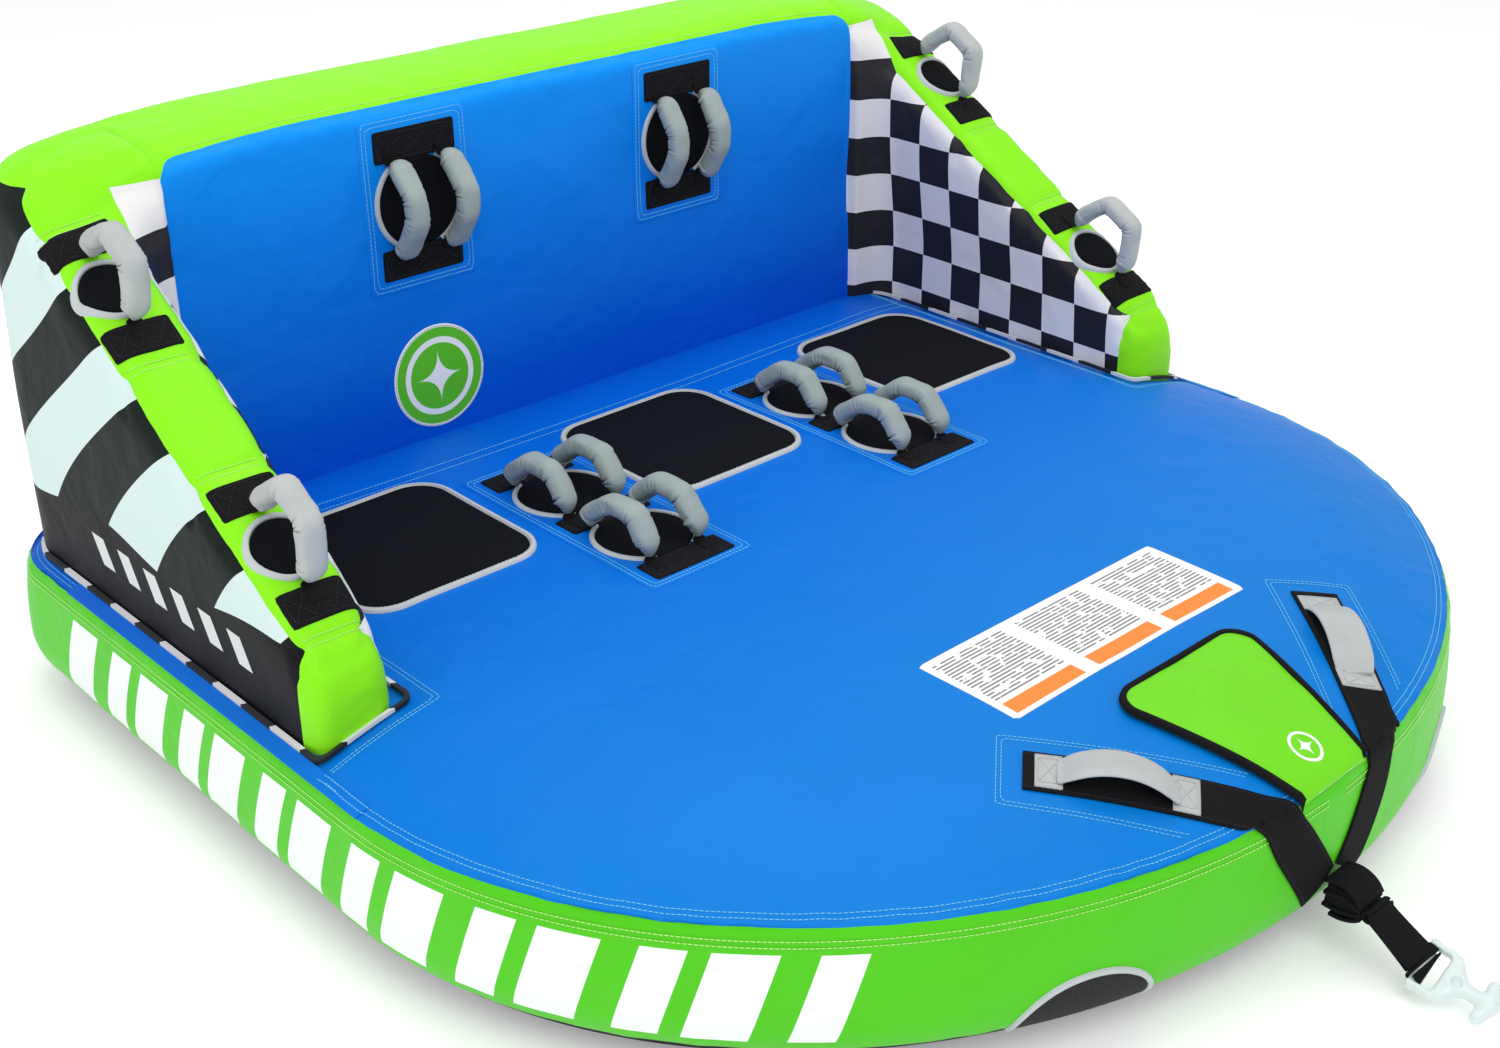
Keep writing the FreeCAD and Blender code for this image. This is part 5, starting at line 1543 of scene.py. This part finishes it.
def build_tow_gear():
    """Folded webbing yoke and the leader that carries the connector."""
    yoke = Builder()
    folds = [
        [(0, -0.914, 0.112), (0, -0.934, 0.117), (0, -0.955, 0.110), (0, -0.966, 0.096)],
        [(0, -0.914, 0.094), (0, -0.935, 0.099), (0, -0.952, 0.096), (0, -0.966, 0.090)],
        [(0, -0.914, 0.076), (0, -0.934, 0.075), (0, -0.952, 0.079), (0, -0.966, 0.084)],
        [(0, -0.925, 0.066), (0, -0.940, 0.066), (0, -0.956, 0.071), (0, -0.966, 0.078)],
    ]
    for fold in folds:
        ribbon(yoke, smooth_path(fold), X_AXIS, 0.0275, 0.0050)
    core = smooth_path([(0, -0.916, 0.092), (0, -0.940, 0.090), (0, -0.964, 0.088)])
    ribbon(yoke, core, X_AXIS, 0.024, 0.034)
    yoke.done("harness_yoke_webbing", M["webbing"], "webbing", body="yoke",
              replaces=["harness_yoke"])

    leader = Builder()
    rear = np.array([0, -0.976, 0.086])
    front = HOOK_PLACE
    heading = unit(front - rear)
    rolled = np.array([math.cos(HOOK_ROLL), 0, math.sin(HOOK_ROLL)])
    normal = unit(np.cross(rolled, heading))
    for lift in (-0.0022, 0.0022):
        path = smooth_path([rear - heading * 0.004 + normal * lift * 2.6,
                            rear + heading * 0.014 + normal * lift,
                            rear + heading * 0.040 + normal * lift,
                            front - heading * 0.018 + normal * lift * 2.2,
                            front - heading * 0.006 + normal * lift * 3.6])
        share = np.linspace(0, 1, len(path))[:, None]
        across = X_AXIS * (1 - share) + rolled * share
        ribbon(leader, path, across, 0.0250 - 0.0035 * share[:, 0], 0.0034)
    for centre, axis, half, reach in ((front, rolled, 0.0250, 0.0088),
                                      (rear, X_AXIS, 0.0250, 0.0066)):
        side = np.cross(heading, axis)
        loop = [centre + (heading * math.cos(t) + side * math.sin(t)) * reach
                for t in np.linspace(math.radians(100), math.radians(440), 40)]
        ribbon(leader, loop, axis, half, 0.0034)
    leader.done("tow_leader_webbing", M["webbing"], "webbing", body="leader",
                replaces=["tow_leader"])


build_tow_gear()


def capsule(p, a, b, ra, rb):
    """Distance from points to a tapering capsule."""
    a, b = np.array(a), np.array(b)
    share = np.clip(((p - a) @ (b - a)) / ((b - a) @ (b - a)), 0, 1)
    return np.linalg.norm(p - a - share[..., None] * (b - a), axis=-1) - ra - (rb - ra) * share


def rounded_block(p, centre, half, radius):
    q = np.abs(p - np.array(centre)) - (np.array(half) - radius)
    return np.linalg.norm(np.maximum(q, 0), axis=-1) + np.minimum(q.max(-1), 0) - radius


def build_connector():
    """The moulded connector: two rails, shoulders that sweep into a neck, and a curved head."""
    cell = 0.0011
    low = np.array([-0.037, -0.104, -0.014])
    axes = [low[i] + cell * np.arange(n) for i, n in enumerate((68, 106, 26))]
    p = np.stack(np.meshgrid(*axes, indexing="ij"), -1)
    field = capsule(p, (-0.029, 0, 0), (0.029, 0, 0), 0.0058, 0.0058)
    for sign in (-1, 1):
        rail = rounded_block(p, (sign * 0.0306, -0.010, 0), (0.0043, 0.017, 0.0086), 0.0040)
        shoulder = capsule(p, (sign * 0.0270, -0.0315, 0), (sign * 0.008, -0.046, 0), 0.0078,
                           0.0085)
        horn = capsule(p, (0, -0.0885, 0), (sign * 0.0215, -0.083, 0), 0.0110, 0.0088)
        field = soft_min(field, rail, 0.003)
        field = soft_min(field, soft_min(shoulder, horn, 0.004), 0.006)
    neck = capsule(p, (0, -0.040, 0), (0, -0.086, 0), 0.0110, 0.0084)
    bridge = rounded_block(p, (0, -0.0330, 0), (0.0290, 0.0085, 0.0082), 0.0050)
    field = soft_min(soft_min(field, bridge, 0.004), neck, 0.008)
    dimple = capsule(p, (0, -0.044, 0.0125), (0, -0.044, 0.016), 0.0082, 0.0082)
    field = soft_max([field, -dimple], 0.003)
    gap = rounded_block(p, (0, 0, 0), (0.0262, 0.0236, 0.05), 0.002)
    bar = capsule(p, (-0.034, 0, 0), (0.034, 0, 0), 0.0058, 0.0058)
    field = soft_min(soft_max([field, -gap], 0.001), bar, 0.001)
    field = np.maximum(field, np.abs(p[..., 2]) - 0.0118)
    verts, quads = quads_of(field, cell, low, 3.0)
    turn = Matrix.Rotation(-HOOK_ROLL, 3, "Y") @ Matrix.Rotation(math.radians(13), 3, "X")
    verts = verts @ np.array(turn).T + HOOK_PLACE
    piece("tow_connector_moulding", verts, quads.tolist(), M["connector"], "connector_plastic",
          body="connector", replaces=["tow_connector"])


build_connector()

# ------------------------------------------------------------------ stow flap


def flap_outline():
    """Plan outline of the flap, from its hinge round its rear edge and back."""
    points = [(-0.069, -0.893)]
    corner = 0.034
    for sx, start in ((-1, 180), (1, 90)):
        cx = sx * (0.132 - corner)
        cy = -0.642 - corner
        for turn in np.radians(np.linspace(start, start - 90, 10)):
            points.append((cx + corner * math.cos(turn), cy + corner * math.sin(turn)))
    points.append((0.069, -0.893))
    return np.array(points)


def build_flap():
    line = resample(flap_outline(), 0.006)
    spot = deck_spot(0, 0)
    closed = resample(np.concatenate([line, resample(line[[-1, 0]], 0.006)[1:-1]]), 0.006, True)
    flap = Builder()
    centre = closed.mean(0)
    rows, uv = [], []
    shares = [1.0, 0.985, 0.95, 0.88, 0.78, 0.66, 0.52, 0.38, 0.24, 0.1, 0.01]
    for share in shares:
        flat = centre + (closed - centre) * share
        height = 0.0105 + 0.004 * (1 - share ** 3)
        wave = 0.0018 * noise(np.column_stack([flat, flat[:, 0] * 0]), 0.05, 31)
        rows.append(spot.many(flat, 0.0) + Z_AXIS * (height + wave)[:, None])
        uv.extend(flat - np.array([0, -0.770]))
    upper = np.concatenate(rows)
    lower = spot.many(closed, 0.0072)
    verts = np.concatenate([upper, lower])
    count = len(closed)
    faces = grid_faces(len(rows), count, True)
    faces.append(list(range(len(upper) - count, len(upper))))
    for i in range(count):
        k = (i + 1) % count
        faces.append((i, k, len(upper) + k, len(upper) + i))
    faces.append(list(range(len(upper), len(verts))))
    flap.add(verts, faces, uv + [(0.0, 0.0)] * count)
    made = flap.done("stow_flap_fabric", M["flap"], "green_band", body="stow_flap",
                     replaces=["stow_flap"])
    tape = Builder()
    add_tape(tape, spot, line, 0.011, 0.0075, 0.0140, closed=False)
    tape.done("stow_flap_binding", M["webbing"], "webbing", body="stow_flap")


def flap_material():
    """Green flap with a generic round mark; UV holds metres from its middle."""
    made = Shader("flap_fabric", FLAP_GREEN, 0.45, 0.22)
    u, v, _ = made.axes(made.coord.outputs["UV"])
    v = made.maths("ADD", v, 0.075)
    mark, _ = made.mark(u, v, (0.019, 0.023), 0.128)
    made.base(made.mix(mark, made.shade(FLAP_GREEN, 0.12, 9.0), WHITE))
    made.bump([(made.grain(24.0, 3.0, 0.8), 0.6, 0.006), (made.grain(900.0, 1.0), 0.12, 0.0004)])
    return made.mat


M["flap"] = flap_material()
build_flap()

# ------------------------------------------------------------------ vents, zipper and valves


ORDER = np.argsort(ALONG)


def seam_at(along):
    """The plan point of the deck's seam at metres along it from the nose."""
    return np.array([np.interp(along, ALONG[ORDER], SEAM_LINE[ORDER, i]) for i in (0, 1)])


def band_point(along, z, h=0.0):
    """A point on the side band (metres along it from the nose, height, lift) and its normal."""
    step = seam_at(along + 0.004) - seam_at(along - 0.004)
    normal = unit(np.array([step[1], -step[0]]))
    place = seam_at(along) + normal * (float(band_offset(z)) + h)
    return np.array([*place, z]), np.array([*normal, 0.0])


class BandSpot:
    """A spot on the side band, with u along it and v up it."""

    def __init__(self, along):
        self.along = along
        self.n = band_point(along, 0.1)[1]

    def many(self, points, h):
        heights = np.broadcast_to(h, (len(points),))
        return np.array([band_point(self.along + p[0], p[1], k)[0]
                         for p, k in zip(points, heights)])


def arc_to_x(x):
    """Distance along the seam from the nose to where it reaches an X."""
    index = np.argmin(np.where(SEAM_LINE[:, 1] < SHOULDER, np.abs(SEAM_LINE[:, 0] - x), 9))
    return ALONG[index]


def build_vents():
    mesh = Builder()
    tape = Builder()
    for sign in (-1, 1):
        spot = BandSpot(arc_to_x(sign * 0.385))
        turn = np.linspace(0, math.pi, 44)
        arch = np.stack([0.093 * np.cos(turn), 0.050 + 0.076 * np.sin(turn) ** 0.9], 1)
        add_plate(mesh, spot, resample(arch, 0.006, True), 0.0, 0.0022, 0.002)
        add_tape(tape, spot, resample(arch, 0.005), 0.009, 0.0006, 0.0046, closed=False)
    mesh.done("drain_vents_mesh", M["vent"], "mesh", replaces=["drain_vents"])
    tape.done("drain_vent_bindings", M["binding"], "binding")


def vent_material():
    made = Shader("vent_mesh_fabric", srgb(26, 26, 29), 0.8, 0.3)
    dots = made.add("ShaderNodeTexVoronoi", Vector=made.coord.outputs["Object"], Scale=260.0)
    made.base(made.mix(made.maths("LESS_THAN", dots.outputs[0], 0.28), srgb(34, 34, 38),
                       srgb(6, 6, 7)))
    made.bump([(dots.outputs[0], 0.6, 0.001)])
    return made.mat


M["vent"] = vent_material()
build_vents()


def build_zipper():
    """Zipper tape with its teeth along the rear of the band."""
    tape = Builder()
    teeth = Builder()
    xs = np.linspace(-0.650, 0.650, 90)
    y0 = REAR
    rows = []
    for x in xs:
        for z, lift in ((0.137, 0.0), (0.138, 0.0026), (0.146, 0.0030), (0.154, 0.0030),
                        (0.162, 0.0026), (0.163, 0.0)):
            rows.append((x, y0 + float(band_offset(z)) + lift, z))
    tape.add(rows, grid_faces(len(xs), 6))
    y = y0 + float(band_offset(0.150)) + 0.0026
    for x in np.arange(-0.640, 0.641, 0.005):
        z = 0.150 + (0.0012 if int(round(x / 0.005)) % 2 else -0.0012)
        low = np.array([x - 0.0016, y, z - 0.0028])
        high = np.array([x + 0.0016, y + 0.0012, z + 0.0028])
        corners = [(i, j, k) for i in (0, 1) for j in (0, 1) for k in (0, 1)]
        verts = [low + (high - low) * np.array(c) for c in corners]
        faces = [(0, 1, 3, 2), (4, 6, 7, 5), (0, 4, 5, 1), (2, 3, 7, 6), (0, 2, 6, 4), (1, 5, 7, 3)]
        teeth.add(verts, faces)
    tape.done("zipper_tape_fabric", M["webbing"], "webbing", replaces=["zipper_tape"])
    teeth.done("zipper_teeth", M["valve"], "valve_plastic", smooth=False)


build_zipper()

# ------------------------------------------------------------------ sewn lines


def build_seams():
    """Lines of thread along the cover's seams."""
    for inset in (-0.012, -0.019):
        stitch_deck(resample(outline(inset), 0.012, True))
    for shift in (-0.010, 0.010):
        x = np.linspace(-ARM_IN + 0.02, ARM_IN - 0.02, 130)
        stitch_deck(np.stack([x, deck_seam(x) + shift], 1))
    for sign in (-1, 1):
        for x in (0.913, 0.922):
            y = np.linspace(-0.126, 0.640, 70)
            stitch_deck(np.stack([np.full(70, sign * x), y], 1), 0.0018)
        for inset in (0.024, 0.030):
            line = np.array([(ARM_IN - inset, 0.62), (ARM_IN - inset, ARM_FRONT - inset),
                             (ARM_OUT + 0.004, ARM_FRONT - inset)])
            line[:, 0] *= sign
            stitch_deck(resample(line, 0.012))
        for place in ARM_SEAMS:
            for shift in (-0.005, 0.005):
                spot = arm_spot(sign, place)
                line = np.stack([np.linspace(-0.045, 0.045, 24), np.full(24, shift)], 1)
                add_stitches(green_thread, spot.many(line, 0.0005), spot.n)
    x = np.linspace(-0.655, 0.655, 200)
    points = back_spot(0, CAP_SEAM_Z + 0.006).many(np.stack([x, -seam_bend(x)], 1), 0.0005)
    add_stitches(green_thread, points, unit(Z_AXIS - Y_AXIS))
    for sign in (-1, 1):
        for lift in (0.222, 0.214):
            marks = np.linspace(0.02, 2.9, 620) * sign
            pairs = [band_point(mark, lift, 0.0012) for mark in marks]
            add_stitches(green_thread, [p for p, _ in pairs], [n for _, n in pairs])


build_seams()
blue_thread.done("stitching_cyan", M["thread_blue"], "binding", smooth=False)
green_thread.done("stitching_green", M["thread_green"], "binding", smooth=False)
grey_thread.done("stitching_grey", M["thread_grey"], "binding", smooth=False)
black_thread.done("stitching_black", M["thread_black"], "webbing", smooth=False)

# ------------------------------------------------------------------ materials of the CAD nodes

CAD_LOOKS = {
    "base_welt": "piping", "side_gusset_left": "deck", "side_gusset_right": "deck",
    "valve_bodies": "valve", "valve_cap_deck": "valve",
    "valve_cap_backrest": "valve", "zipper_slider": "valve",
}
for name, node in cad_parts.items():
    look = CAD_LOOKS.get(name, "webbing")
    node.data.materials.clear()
    node.data.materials.append(M[look])

# ------------------------------------------------------------------ floor and light


def add_floor():
    mesh = bpy.data.meshes.new("floor")
    s = 14.0
    mesh.from_pydata([(-s, -s, -0.0005), (s, -s, -0.0005), (s, s, -0.0005), (-s, s, -0.0005)], [],
                     [(0, 1, 2, 3)])
    floor = bpy.data.objects.new("floor", mesh)
    scene.collection.objects.link(floor)
    made = Shader("floor_paint", (0.95, 0.95, 0.95, 1), 0.8, 0.2)
    made.base(made.shade((0.95, 0.95, 0.95, 1), 0.01, 2.0))
    made.bsdf.inputs["Emission Color"].default_value = (1, 1, 1, 1)
    made.bsdf.inputs["Emission Strength"].default_value = 0.20
    floor.data.materials.append(made.mat)
    floor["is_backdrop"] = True


def add_area(name, place, target, size, energy):
    data = bpy.data.lights.new(name, "AREA")
    data.shape = "SQUARE"
    data.size = size
    data.energy = energy
    light = bpy.data.objects.new(name, data)
    scene.collection.objects.link(light)
    light.location = place
    light.rotation_euler = (Vector(target) - Vector(place)).to_track_quat("-Z", "Y").to_euler()


def add_world():
    world = bpy.data.worlds.new("studio")
    scene.world = world
    world.use_nodes = True
    background = world.node_tree.nodes["Background"]
    background.inputs[0].default_value = (1.0, 1.0, 1.0, 1.0)
    background.inputs[1].default_value = 0.74


add_floor()
add_world()
add_area("key_light", (-1.6, -2.6, 3.6), (0, 0, 0.3), 2.6, 56)
add_area("top_light", (0.8, 0.6, 4.2), (0, 0, 0.3), 3.4, 58)
add_area("left_light", (-3.6, 1.2, 2.4), (0, 0, 0.4), 2.2, 22)


def as_lists(value):
    return json.loads(json.dumps(value, default=lambda v: [float(x) for x in v]))


{"cad": as_lists(cad_bounds), "visual": as_lists(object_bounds())}
